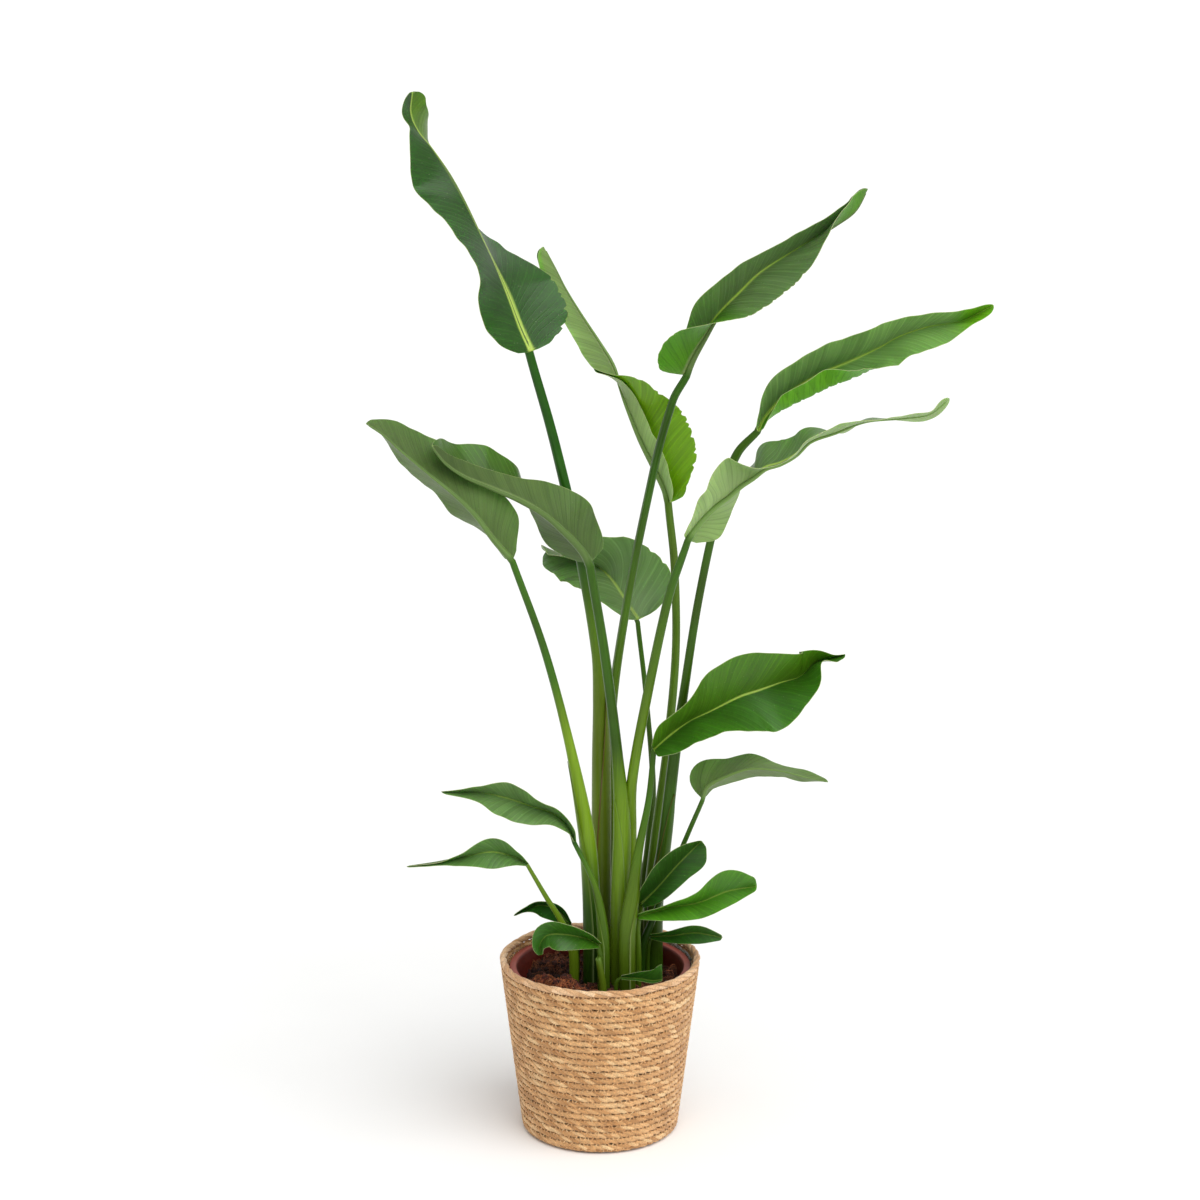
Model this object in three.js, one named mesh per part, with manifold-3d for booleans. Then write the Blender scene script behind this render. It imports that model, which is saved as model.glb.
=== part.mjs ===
// A bird of paradise plant in a plastic nursery pot, standing in a basket of sewn seagrass braid.
// Millimetres, +Z up. The origin is the centre of the basket's foot, and the plant's front looks along -Y.
import * as THREE from 'three';
import { mergeVertices } from 'three/addons/utils/BufferGeometryUtils.js';
import Module from 'manifold-3d';

const wasm = await Module();
wasm.setup();

// ---- driving dimensions ----------------------------------------------------------------------

const gap = 0.3; // left between pieces that rest on or in each other

const basket = { footRadius: 82, rimRadius: 105, height: 188, wall: 6.5, floor: 8, footRound: 6, rope: 7.6 };
const film = { thickness: 0.8, slack: 0.3, belowRim: 8 };
const pot = {
  rimRadius: 94.5, height: 168.6, footRadius: 68, wall: 1.6, floor: 2.4, rimBand: 7.6, rimDrop: 11,
  footRing: 3, drainHoles: 8, drainRadius: 5, drainCircle: 46,
};
const soil = {
  top: 160, stemDepth: 28, heap: 7, heapX: -35, heapY: -40, heapSpread: 42, lump: 2.2, lumpLength: 9,
};
const blade = {
  ribThickness: 3.2, marginThickness: 0.9, neckRound: 0.02, tipRound: 0.04, leastShare: 0.14,
  curlFrom: 0.3, curlTo: 0.65,
};

// How fine the faces are.
const ringSides = 48; // around the basket and the pot
const stalkSides = 8;
const holeSides = 12;
const ropeSides = 8;
const soilRings = 6;
const soilSides = 32;
const rowsPerPoint = 2; // along a stalk
const largeHalf = 35; // a half blade wider than this has the finer grid
const fineGrid = { rows: 18, steps: 3 };
const plainGrid = { rows: 10, steps: 2 };

// ---- the plant's form ------------------------------------------------------------------------
// stalk: [x, y, z, radius] from the soil up to the neck, where the blade starts.
// rib: [x, y, z, left lift, right lift, left width, right width] from the neck to the tip. The lifts, in
// degrees, turn the half blades about the rib: 0 lies in the upright plane that faces the front, seen on
// the side that its name says when looking along the leaf, 90 points to the front and -90 to the back.
// sweep: how far the rows lean back at the neck, as a share of their length. curl: for each half blade,
// [share along the rib, degrees] by which its outer part turns over.

const leaves = {
  tall_left: {
    stalk: [[1, 30, 238, 10], [1, 32, 391, 9.5], [0, 31, 457, 7.5], [-3, 30, 510, 6.3],
      [-22, 28, 622, 5.8], [-50, 26, 746, 5], [-69, 25, 821, 4.5]],
    rib: [[-69, 25, 822, 50, -30, 10, 12], [-80, 28, 846, 53, -28, 42, 52],
      [-92, 31, 878, 58, -42, 52, 60], [-106, 35, 910, 76, -76, 52, 58],
      [-120, 40, 940, 66, -94, 48, 52], [-135, 45, 971, 46, -108, 44, 46],
      [-149, 48, 996, 27, -110, 40, 34], [-167, 50, 1022, 58, -95, 32, 26],
      [-181, 52, 1038, 84, -48, 22, 24], [-188, 52, 1056, 60, -27, 15, 18],
      [-186, 50, 1077, 60, -25, 8, 13]],
    sweep: [-0.15, -0.35],
  },
  middle_back: {
    stalk: [[53, 45, 232, 7], [58, 52, 286, 6.5], [71, 64, 398, 4.8], [79, 69, 500, 4.3],
      [77, 70, 596, 4.2], [72, 70, 656, 4]],
    rib: [[72, 70, 657, 100, 30, 6, 10], [68, 71, 671, 112, 30, 18, 26], [59, 74, 690, 125, 6, 22, 44],
      [43, 79, 721, 130, 10, 22, 52], [28, 86, 756, 125, 45, 20, 46], [20, 95, 775, 85, 88, 30, 30],
      [12, 103, 795, 24, 146, 20, 22], [0, 111, 814, 24, 146, 20, 23],
      [-20, 118, 844, 24, 146, 18, 20], [-36, 123, 870, 24, 146, 16, 17],
      [-45, 126, 888, 30, 140, 16, 18], [-58, 128, 913, 30, 120, 10, 11]],
    sweep: [-0.1, -0.15],
  },
  right_top: {
    stalk: [[12, 45, 288, 7], [11, 45, 387, 6.5], [13, 37, 455, 5.2], [28, 30, 563, 4.6],
      [48, 24, 670, 4.4], [71, 20, 773, 4.2], [84, 20, 798, 4]],
    rib: [[84, 20, 799, 15, 150, 8, 26], [92, 20, 817, 20, 148, 19, 40],
      [102, 21, 834, 30, 132, 23, 44], [118, 23, 859, 40, 85, 36, 46], [140, 26, 882, 44, 60, 34, 46],
      [160, 29, 901, 48, 53, 28, 44], [199, 35, 925, 50, 76, 24, 38], [237, 42, 947, 48, 120, 22, 26],
      [255, 46, 960, 34, 132, 16, 20], [267, 50, 981, 30, 120, 6, 7]],
    sweep: [-0.1, -0.3],
  },
  right_second: {
    stalk: [[58, 28, 239, 8], [66, 25, 295, 7], [77, 15, 402, 6], [85, 10, 463, 4.8],
      [100, 0, 571, 4.2], [121, -6, 676, 4.2], [137, -8, 723, 4.4], [157, -10, 746, 3.6]],
    rib: [[157, -10, 747, 60, 60, 5, 5], [165, -10, 763, 50, 57, 14, 16],
      [184, -12, 784, 42, 45, 32, 36], [218, -14, 806, 40, 38, 36, 44],
      [252, -16, 821, 38, 44, 34, 44], [277, -17, 833, 40, 66, 31, 42],
      [296, -18, 844, 42, 68, 26, 40], [325, -19, 854, 44, 60, 21, 32],
      [355, -20, 859, 48, 78, 18, 20], [387, -20, 875, 50, 50, 5, 5]],
    curl: [[[0, 0]], [[0, 0], [0.08, 60], [0.17, 110], [0.34, 120], [0.46, 70], [0.56, 0]]],
  },
  right_third: {
    stalk: [[31, 10, 245, 8], [31, 9, 323, 7], [33, -2, 380, 5.6], [49, -25, 483, 5],
      [70, -50, 594, 4.5], [85, -60, 648, 3.6]],
    rib: [[85, -60, 649, 60, -40, 6, 10], [99, -64, 669, 66, -22, 24, 30],
      [114, -68, 685, 56, -50, 34, 36], [126, -72, 695, 50, -72, 38, 38],
      [137, -76, 706, 38, -88, 41, 40], [149, -80, 715, 36, -96, 40, 40],
      [161, -83, 725, 74, -112, 38, 40], [175, -86, 730, 78, -112, 36, 38],
      [190, -88, 739, 79, -104, 34, 36], [204, -90, 753, 74, -93, 32, 34],
      [228, -92, 762, 68, -72, 30, 30], [257, -92, 773, 80, -82, 26, 26],
      [296, -90, 776, 70, -70, 22, 22], [320, -86, 779, 64, -58, 16, 16],
      [339, -82, 793, 50, -50, 6, 6]],
    sweep: [-0.1, -0.5],
  },
  left_outer: {
    stalk: [[-8, 4, 226, 9], [-10, 0, 282, 8.8], [-14, -5, 327, 8.2], [-31, -20, 424, 5],
      [-56, -38, 529, 4], [-87, -56, 625, 3.4]],
    rib: [[-87, -56, 626, -50, -55, 8, 8], [-104, -60, 647, -75, -42, 24, 38],
      [-123, -66, 674, -52, -44, 36, 41], [-142, -72, 695, -62, -52, 38, 43],
      [-166, -79, 717, -60, -54, 35, 41], [-195, -88, 744, -72, -62, 26, 31],
      [-208, -94, 758, -76, -66, 18, 21], [-226, -100, 772, -75, -62, 4, 4]],
    sweep: [-0.1, -0.2],
  },
  left_front: {
    stalk: [[21, -3, 250, 9.5], [23, -3, 327, 9], [17, -6, 414, 6], [5, -12, 516, 5],
      [-10, -16, 611, 4.6]],
    rib: [[-10, -16, 614, -50, -45, 10, 18], [-20, -18, 629, -45, -52, 32, 39],
      [-35, -24, 647, -52, -38, 42, 44], [-55, -32, 667, -76, -50, 42, 38],
      [-79, -42, 684, -118, -32, 43, 22], [-109, -54, 700, -134, -22, 43, 16],
      [-133, -66, 713, -118, -25, 37, 14], [-151, -80, 729, -112, -30, 26, 9],
      [-163, -94, 748, -110, -35, 5, 4]],
    sweep: [-0.1, -0.2],
  },
  centre_back: {
    stalk: [[44, 58, 226, 5], [51, 68, 279, 4.5], [56, 82, 343, 3.4], [51, 89, 418, 2.8],
      [40, 95, 524, 2.6]],
    rib: [[40, 95, 526, 60, -20, 6, 12], [32, 103, 536, 68, -15, 30, 45],
      [23, 112, 548, 62, -10, 40, 57], [11, 126, 563, 50, 10, 44, 50], [-2, 142, 572, 52, 78, 44, 40],
      [-21, 160, 577, 62, 82, 34, 36], [-41, 178, 577, 66, 60, 24, 26], [-58, 192, 576, 68, 55, 4, 5]],
    sweep: [-0.2, -0.3],
  },
  right_broad: {
    stalk: [[28, -25, 225, 8.5], [34, -23, 268, 7], [40, -20, 311, 4.6], [50, -15, 363, 3.4],
      [55, -10, 414, 2.8]],
    rib: [[55, -10, 416, 60, 70, 8, 12], [72, -9, 431, 42, 66, 26, 30], [92, -6, 445, 50, 75, 36, 44],
      [113, -2, 454, 30, 72, 46, 48], [143, 4, 468, 20, 50, 48, 52], [164, 9, 474, 22, 43, 44, 50],
      [185, 14, 480, 28, 66, 37, 44], [206, 20, 485, 32, 84, 31, 35], [220, 26, 497, 46, 92, 20, 26],
      [235, 32, 501, 66, 88, 12, 16], [253, 40, 503, 70, 80, 3, 3]],
    sweep: [-0.2, -0.3],
  },
  right_low: {
    stalk: [[44, 3, 193, 4.4], [57, 2, 232, 3.2], [71, -5, 273, 2.8], [105, -20, 365, 2.4]],
    rib: [[105, -20, 366, -55, -55, 6, 4], [110, -23, 380, -46, -55, 28, 18],
      [128, -28, 392, -70, -53, 29, 24], [153, -33, 402, -77, -50, 27, 24],
      [183, -37, 401, -92, -58, 22, 20], [208, -38, 395, -76, -52, 14, 12],
      [232, -36, 389, -70, -70, 3, 3]],
    sweep: [-0.3, -0.3],
  },
  left_low: {
    stalk: [[4, -23, 212, 6], [0, -22, 250, 4.2], [-7, -20, 277, 3], [-26, -14, 316, 2.4]],
    rib: [[-26, -14, 318, 90, 65, 5, 5], [-33, -16, 334, 85, 62, 12, 14],
      [-46, -20, 349, 75, 60, 20, 18], [-72, -26, 361, 60, 52, 26, 24],
      [-97, -34, 372, 58, 34, 26, 24], [-122, -40, 379, 76, 50, 18, 18], [-161, -46, 382, 80, 70, 3, 3]],
    sweep: [-0.1, -0.1],
  },
  left_lowest: {
    stalk: [[-28, -10, 199, 5], [-41, -18, 234, 3.2], [-55, -24, 260, 2.6], [-74, -30, 297, 2]],
    rib: [[-74, -30, 299, 80, 62, 4, 4], [-90, -35, 309, 78, 48, 15, 14],
      [-111, -41, 316, 52, 26, 21, 20], [-137, -47, 313, 75, 58, 17, 16],
      [-165, -50, 308, 85, 75, 9, 9], [-197, -52, 304, 88, 70, 3, 3]],
    sweep: [-0.1, -0.1],
  },
  base_right_upper: {
    stalk: [[36, -8, 193, 3], [43, -12, 248, 2.3]],
    rib: [[42, -12, 249, 30, 50, 5, 5], [59, -18, 269, 40, 55, 22, 18], [77, -24, 293, 36, 40, 25, 20],
      [92, -28, 311, 36, 30, 16, 20], [104, -30, 324, 50, 50, 3, 8]],
    sweep: [-0.1, -0.1],
  },
  base_right_middle: {
    stalk: [[40, -20, 193, 3], [39, -20, 238, 2.3]],
    rib: [[39, -20, 239, 50, 70, 4, 5], [72, -31, 252, 58, 68, 16, 19],
      [103, -41, 262, 40, 54, 19, 20], [131, -48, 276, 10, 50, 24, 16], [160, -53, 283, 30, 60, 12, 5]],
    sweep: [-0.1, -0.1],
  },
  base_right_lower: {
    stalk: [[50, 12, 187, 2.5], [52, 12, 204, 2]],
    rib: [[52, 12, 205, 50, 70, 4, 4], [75, 0, 210, 40, 60, 10, 10], [100, -8, 216, 35, 35, 13, 12],
      [127, -14, 213, 30, 40, 3, 3]],
    sweep: [-0.1, -0.1],
  },
  base_left_back: {
    stalk: [[-25, 25, 193, 2.8], [-32, 25, 212, 2.2]],
    rib: [[-32, 25, 213, 60, 50, 5, 5], [-46, 22, 231, 48, 50, 15, 13], [-63, 18, 237, 60, 52, 15, 13],
      [-78, 12, 234, 92, 55, 8, 8], [-90, 8, 229, 90, 55, 2, 2]],
    sweep: [-0.1, -0.1],
  },
  base_left_front: {
    stalk: [[1, -34, 189, 3.2], [-1, -35, 212, 2.3]],
    rib: [[-1, -35, 213, 80, 50, 5, 5], [-16, -42, 223, 70, 48, 16, 14],
      [-38, -50, 230, 50, 30, 19, 17], [-54, -56, 231, 60, 20, 17, 16],
      [-61, -60, 223, 65, 35, 10, 10], [-60, -62, 212, 65, 40, 3, 3]],
    sweep: [-0.1, -0.1],
  },
  base_front: {
    stalk: [[17, -43, 175, 2.3], [22, -45, 180, 2]],
    rib: [[22, -45, 181, 45, 80, 4, 4], [40, -51, 182, 20, 80, 9, 5], [54, -56, 181.5, 5, 80, 14, 5],
      [64, -59, 184, 0, 80, 17, 3]],
    sweep: [-0.1, -0.1],
  },
};

const stub = [[3, -46, 171, 3.7], [-2, -45, 203, 3]]; // what is left of a leaf that was cut off

// ---- places worked out from the dimensions ------------------------------------------------------

const potFloor = basket.floor + film.thickness + 2 * gap;
const potTop = potFloor + pot.height;
const soilFloor = potFloor + pot.floor + gap;
const stemFoot = soil.top - soil.stemDepth;

// The basket's outside runs straight from its foot to its rim.
function basketRadius(z) {
  return basket.footRadius + (basket.rimRadius - basket.footRadius) * (z / basket.height);
}

// The pot's wall outside, under its rim.
function potRadius(z) {
  const share = (z - potFloor) / pot.height;
  return pot.footRadius + (pot.rimRadius - pot.rimBand - pot.footRadius) * share;
}

// ---- solids ------------------------------------------------------------------------------------

function toSolid(geometry) {
  const bare = geometry.clone();
  bare.deleteAttribute('normal');
  bare.deleteAttribute('uv');
  const welded = mergeVertices(bare, 1e-4);
  const mesh = new wasm.Mesh({
    numProp: 3,
    vertProperties: new Float32Array(welded.attributes.position.array),
    triVerts: new Uint32Array(welded.index.array),
  });
  return new wasm.Manifold(mesh);
}

function toGeometry(solid) {
  const mesh = solid.getMesh();
  const geometry = new THREE.BufferGeometry();
  geometry.setAttribute('position', new THREE.BufferAttribute(new Float32Array(mesh.vertProperties), 3));
  geometry.setIndex(new THREE.BufferAttribute(new Uint32Array(mesh.triVerts), 1));
  geometry.computeVertexNormals();
  return geometry;
}

// What is left of a solid once its neighbours are cut out, without the crumbs.
function carve(solid, neighbours) {
  let left = solid;
  for (const neighbour of neighbours) {
    left = left.subtract(neighbour);
  }
  const parts = left.decompose().sort((a, b) => b.volume() - a.volume());
  return parts[0];
}

// A closed solid turned around Z. The profile is a list of [radius, z].
function turned(profile) {
  const outline = profile.map(([radius, z]) => new THREE.Vector2(radius, z));
  const closed = profile[0][0] === 0 ? outline : [...outline, outline[0].clone()];
  const geometry = new THREE.LatheGeometry(closed, ringSides);
  geometry.rotateX(Math.PI / 2);
  return geometry;
}

function closedSurface(points, faces) {
  const geometry = new THREE.BufferGeometry();
  geometry.setAttribute('position', new THREE.Float32BufferAttribute(points.flatMap((p) => p.toArray()), 3));
  geometry.setIndex(faces.flat());
  return geometry;
}

// ---- smooth runs through a few rows --------------------------------------------------------------

function distance(a, b) {
  return Math.hypot(b[0] - a[0], b[1] - a[1], b[2] - a[2]);
}

// Rows of x, y, z and anything else, drawn as one smooth run and taken again at even steps along it.
function smooth(rows, count) {
  const place = [0];
  for (let i = 1; i < rows.length; i += 1) {
    place.push(place[i - 1] + distance(rows[i - 1], rows[i]));
  }
  const slope = rows.map((row, i) => {
    const before = Math.max(i - 1, 0);
    const after = Math.min(i + 1, rows.length - 1);
    return row.map((_, c) => (rows[after][c] - rows[before][c]) / (place[after] - place[before]));
  });
  const length = place[rows.length - 1];
  const run = [];
  let k = 1;
  for (let n = 0; n < count; n += 1) {
    const at = (length * n) / (count - 1);
    while (k < rows.length - 1 && place[k] < at) {
      k += 1;
    }
    const span = place[k] - place[k - 1];
    const t = (at - place[k - 1]) / span;
    const ease = t * t * (3 - 2 * t);
    run.push(rows[k].map((_, c) => rows[k - 1][c] * (1 - ease) + rows[k][c] * ease
      + span * t * (1 - t) * (slope[k - 1][c] * (1 - t) - slope[k][c] * t)));
  }
  return run;
}

function tangents(points) {
  return points.map((_, i) => {
    const before = points[Math.max(i - 1, 0)];
    const after = points[Math.min(i + 1, points.length - 1)];
    return new THREE.Vector3().subVectors(after, before).normalize();
  });
}

const toPoint = (row) => new THREE.Vector3(row[0], row[1], row[2]);

// ---- stalks ----------------------------------------------------------------------------------------

// A round stalk through rows of x, y, z and radius. grow makes it fatter and longer all round.
function stalkGeometry(rows, count, grow = 0) {
  const run = smooth(rows, count);
  const centres = run.map(toPoint);
  const along = tangents(centres);
  centres[0].addScaledVector(along[0], -grow);
  centres[count - 1].addScaledVector(along[count - 1], grow);
  const points = [];
  const faces = [];
  centres.forEach((centre, i) => {
    const side = new THREE.Vector3(1, 0, 0).addScaledVector(along[i], -along[i].x).normalize();
    const back = new THREE.Vector3().crossVectors(along[i], side);
    for (let k = 0; k < stalkSides; k += 1) {
      const angle = (2 * Math.PI * k) / stalkSides;
      points.push(centre.clone()
        .addScaledVector(side, (run[i][3] + grow) * Math.cos(angle))
        .addScaledVector(back, (run[i][3] + grow) * Math.sin(angle)));
    }
  });
  for (let i = 0; i < count - 1; i += 1) {
    for (let k = 0; k < stalkSides; k += 1) {
      const a = i * stalkSides + k;
      const b = i * stalkSides + ((k + 1) % stalkSides);
      faces.push([a, b, b + stalkSides], [a, b + stalkSides, a + stalkSides]);
    }
  }
  const top = (count - 1) * stalkSides;
  for (let k = 1; k < stalkSides - 1; k += 1) {
    faces.push([0, k + 1, k], [top, top + k, top + k + 1]);
  }
  return closedSurface(points, faces);
}

// The stalk with its foot: it goes straight down into the soil below its first row.
function wholeStalk(rows) {
  const [x, y, , radius] = rows[0];
  return [[x, y, stemFoot, radius], ...rows];
}

// ---- blades ----------------------------------------------------------------------------------------

const front = new THREE.Vector3(0, -1, 0);

// How the blade is rounded off at its neck and its tip, as a share of the width.
function rounding(share) {
  const neck = Math.sqrt(Math.min(share / blade.neckRound, 1));
  const beyond = Math.max((share - 1 + blade.tipRound) / blade.tipRound, 0);
  return Math.max(neck * Math.sqrt(1 - beyond * beyond), blade.leastShare);
}

// How far the rows of veins lean along the rib: back by the neck, on towards the tip.
function rowLean(sweep, share) {
  const at = [0, 0.25, 0.6, 1];
  const lean = [sweep, 0, 0.25, 0.35];
  const k = at.findIndex((place, i) => i > 0 && share <= place);
  return THREE.MathUtils.mapLinear(share, at[k - 1], at[k], lean[k - 1], lean[k]);
}

// How far the outer part of a half blade is turned over, at a share of the rib's length.
function curlAt(pairs, share) {
  const after = pairs.findIndex(([place]) => place >= share);
  if (after < 1) {
    return pairs[after === 0 ? 0 : pairs.length - 1][1];
  }
  const [from, to] = [pairs[after - 1], pairs[after]];
  return THREE.MathUtils.mapLinear(share, from[0], to[0], from[1], to[1]);
}

// Points from the rib to one margin. side is 0 for the left half blade, 1 for the right.
function halfRow(leaf, row, share, along, side, steps) {
  const left = new THREE.Vector3().crossVectors(front, along).normalize();
  const toFront = new THREE.Vector3().crossVectors(along, left);
  const reach = row[5 + side] * rounding(share);
  const lean = rowLean(leaf.sweep?.[side] ?? 0, share);
  const curl = curlAt(leaf.curl?.[side] ?? [[0, 0]], share);
  const point = toPoint(row);
  const points = [];
  for (let k = 0; k < steps; k += 1) {
    const turn = THREE.MathUtils.smoothstep((k + 0.5) / steps, blade.curlFrom, blade.curlTo);
    const lift = THREE.MathUtils.degToRad(row[3 + side] + curl * turn);
    point.addScaledVector(left, (side === 0 ? 1 : -1) * Math.cos(lift) * (reach / steps));
    point.addScaledVector(toFront, Math.sin(lift) * (reach / steps));
    point.addScaledVector(along, lean * (reach / steps));
    points.push(point.clone());
  }
  return points;
}

// A thin closed solid over a grid of points, rows along the leaf and columns across it.
function bladeGeometry(leaf) {
  const widest = Math.max(...leaf.rib.flatMap((row) => row.slice(5)));
  const { rows, steps } = widest > largeHalf ? fineGrid : plainGrid;
  const run = smooth(leaf.rib, rows);
  const along = tangents(run.map(toPoint));
  const columns = 2 * steps + 1;
  const grid = run.map((row, i) => {
    const share = i / (rows - 1);
    const leftHalf = halfRow(leaf, row, share, along[i], 0, steps).reverse();
    const rightHalf = halfRow(leaf, row, share, along[i], 1, steps);
    return [...leftHalf, toPoint(row), ...rightHalf];
  });
  const points = [];
  for (const side of [1, -1]) {
    grid.forEach((line, i) => line.forEach((point, j) => {
      const down = new THREE.Vector3()
        .subVectors(grid[Math.min(i + 1, rows - 1)][j], grid[Math.max(i - 1, 0)][j]);
      const across = new THREE.Vector3()
        .subVectors(line[Math.min(j + 1, columns - 1)], line[Math.max(j - 1, 0)]);
      const outward = down.cross(across).normalize();
      const fromRib = Math.abs(j - steps) / steps;
      const thickness = THREE.MathUtils.lerp(blade.marginThickness, blade.ribThickness, (1 - fromRib) ** 3);
      points.push(point.clone().addScaledVector(outward, (side * thickness) / 2));
    }));
  }
  const under = rows * columns;
  const faces = [];
  const quad = (a, b, c, d) => faces.push([a, b, c], [a, c, d]);
  for (let i = 0; i < rows - 1; i += 1) {
    for (let j = 0; j < columns - 1; j += 1) {
      const a = i * columns + j;
      quad(a, a + columns, a + columns + 1, a + 1);
      quad(under + a, under + a + 1, under + a + columns + 1, under + a + columns);
    }
    const first = i * columns;
    const last = first + columns - 1;
    quad(first, under + first, under + first + columns, first + columns);
    quad(last, last + columns, under + last + columns, under + last);
  }
  for (let j = 0; j < columns - 1; j += 1) {
    const tip = (rows - 1) * columns + j;
    quad(j, j + 1, under + j + 1, under + j);
    quad(tip, under + tip, under + tip + 1, tip + 1);
  }
  return closedSurface(points, faces);
}

// ---- the basket, the film, the pot and the soil ----------------------------------------------------

const ropeCentre = basket.rimRadius - basket.rope / 2;
const wallTop = basket.height - basket.rope - gap;

function basketGeometry() {
  const { footRound, footRadius, wall, floor } = basket;
  const corner = [];
  const cornerSteps = 3;
  for (let k = 0; k <= cornerSteps; k += 1) {
    const angle = (Math.PI / 2) * (k / cornerSteps);
    corner.push([
      footRadius - footRound * (1 - Math.sin(angle)),
      footRound * (1 - Math.cos(angle)),
    ]);
  }
  return turned([
    [0, 0], ...corner, [basketRadius(wallTop), wallTop], [basketRadius(wallTop) - wall, wallTop],
    [basketRadius(floor) - wall, floor], [0, floor],
  ]);
}

function ropeGeometry() {
  const ring = [];
  for (let k = 0; k < ropeSides; k += 1) {
    const angle = (2 * Math.PI * k) / ropeSides;
    ring.push([
      ropeCentre + (basket.rope / 2) * Math.cos(angle),
      basket.height - basket.rope / 2 + (basket.rope / 2) * Math.sin(angle),
    ]);
  }
  return turned(ring);
}

function filmGeometry() {
  const bottom = basket.floor + gap;
  const top = basket.height - film.belowRim;
  const outer = (z) => basketRadius(z) - basket.wall - film.slack;
  const inner = (z) => outer(z) - film.thickness;
  return turned([
    [0, bottom], [outer(bottom), bottom], [outer(top), top], [inner(top), top],
    [inner(bottom + film.thickness), bottom + film.thickness], [0, bottom + film.thickness],
  ]);
}

function potSolid() {
  const { rimRadius, rimBand, rimDrop, wall, floor, footRing } = pot;
  const rimUnder = potTop - rimDrop;
  const shell = toSolid(turned([
    [0, potFloor + footRing / 2], [potRadius(potFloor) - footRing, potFloor + footRing / 2],
    [potRadius(potFloor) - footRing, potFloor], [potRadius(potFloor), potFloor],
    [potRadius(rimUnder), rimUnder], [rimRadius, rimUnder], [rimRadius, potTop],
    [rimRadius - rimBand, potTop], [rimRadius - rimBand - wall, potTop - wall],
    [potRadius(rimUnder) - wall, rimUnder],
    [potRadius(potFloor + floor) - wall, potFloor + floor], [0, potFloor + floor],
  ]));
  const holes = [];
  for (let k = 0; k < pot.drainHoles; k += 1) {
    const angle = (2 * Math.PI * k) / pot.drainHoles;
    const hole = new THREE.CylinderGeometry(pot.drainRadius, pot.drainRadius, 4 * floor, holeSides);
    hole.rotateX(Math.PI / 2);
    hole.translate(pot.drainCircle * Math.cos(angle), pot.drainCircle * Math.sin(angle), potFloor);
    holes.push(toSolid(hole));
  }
  return carve(shell, holes);
}

// The soil's top lies in lumps, with a heap at the front left.
function soilHeight(x, y) {
  const { heapX, heapY, heapSpread, lumpLength } = soil;
  const heap = soil.heap * Math.exp(-((x - heapX) ** 2 + (y - heapY) ** 2) / heapSpread ** 2);
  const lumps = Math.sin(x / lumpLength) * Math.cos(y / lumpLength) + Math.sin((x - y) / lumpLength) / 2;
  return soil.top + heap + soil.lump * lumps;
}

function soilGeometry() {
  const rings = soilRings;
  const sides = soilSides;
  const wallInside = (z) => potRadius(z) - pot.wall - gap;
  const points = [new THREE.Vector3(0, 0, soilHeight(0, 0))];
  const faces = [];
  const addRing = (radius, heightAt) => {
    for (let k = 0; k < sides; k += 1) {
      const angle = (2 * Math.PI * k) / sides;
      const [x, y] = [radius * Math.cos(angle), radius * Math.sin(angle)];
      points.push(new THREE.Vector3(x, y, heightAt(x, y)));
    }
  };
  for (let r = 1; r < rings; r += 1) {
    addRing((wallInside(soil.top) * r) / rings, soilHeight);
  }
  const edge = soil.top - 2 * soil.lump;
  addRing(wallInside(edge), () => edge);
  addRing(wallInside(soilFloor), () => soilFloor);
  const bottom = points.push(new THREE.Vector3(0, 0, soilFloor)) - 1;
  for (let k = 0; k < sides; k += 1) {
    const next = (k + 1) % sides;
    faces.push([0, 1 + k, 1 + next]);
    for (let r = 0; r < rings; r += 1) {
      const a = 1 + r * sides;
      faces.push([a + k, a + sides + k, a + sides + next], [a + k, a + sides + next, a + next]);
    }
    faces.push([1 + rings * sides + k, bottom, 1 + rings * sides + next]);
  }
  return closedSurface(points, faces);
}

// ---- materials -----------------------------------------------------------------------------------------

const finish = (color, roughness) => () => new THREE.MeshStandardMaterial({ color, roughness, metalness: 0 });
const seagrass = finish(0xb58f5c, 0.85);
const clearFilm = finish(0xc9c9c2, 0.35);
const brownPlastic = finish(0x8a3b26, 0.5);
const pottingSoil = finish(0x4a2f22, 0.95);
const leafGreen = finish(0x3c6b2c, 0.45);
const stalkGreen = finish(0x4f8232, 0.4);

// ---- assembly ------------------------------------------------------------------------------------------

function piece(name, geometry, material) {
  const mesh = new THREE.Mesh(geometry, material());
  mesh.name = name;
  return mesh;
}

const holder = new THREE.Group();
holder.add(piece('basket_body', basketGeometry(), seagrass));
holder.add(piece('basket_rim_rope', ropeGeometry(), seagrass));
holder.add(piece('film_liner', filmGeometry(), clearFilm));
holder.add(piece('nursery_pot', toGeometry(potSolid()), brownPlastic));

// Each stalk is cut by the ones before it, so that the sheaths of a clump lie against each other.
// stalks holds them a gap fatter all round, to cut what touches them.
const plant = new THREE.Group();
const stalks = [];
for (const [name, leaf] of Object.entries(leaves)) {
  const rows = wholeStalk(leaf.stalk);
  const count = rowsPerPoint * rows.length;
  const solid = carve(toSolid(stalkGeometry(rows, count)), stalks);
  stalks.push(toSolid(stalkGeometry(rows, count, gap)));
  plant.add(piece(`${name}_stalk`, toGeometry(solid), stalkGreen));
}
const stubRows = wholeStalk(stub);
plant.add(piece('cut_stalk_stub', stalkGeometry(stubRows, stubRows.length), stalkGreen));
stalks.push(toSolid(stalkGeometry(stubRows, stubRows.length, gap)));

for (const [name, leaf] of Object.entries(leaves)) {
  const solid = carve(toSolid(bladeGeometry(leaf)), stalks);
  plant.add(piece(`${name}_blade`, toGeometry(solid), leafGreen));
}

const soilSolid = carve(toSolid(soilGeometry()), stalks);
holder.add(piece('potting_soil', toGeometry(soilSolid), pottingSoil));

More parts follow.
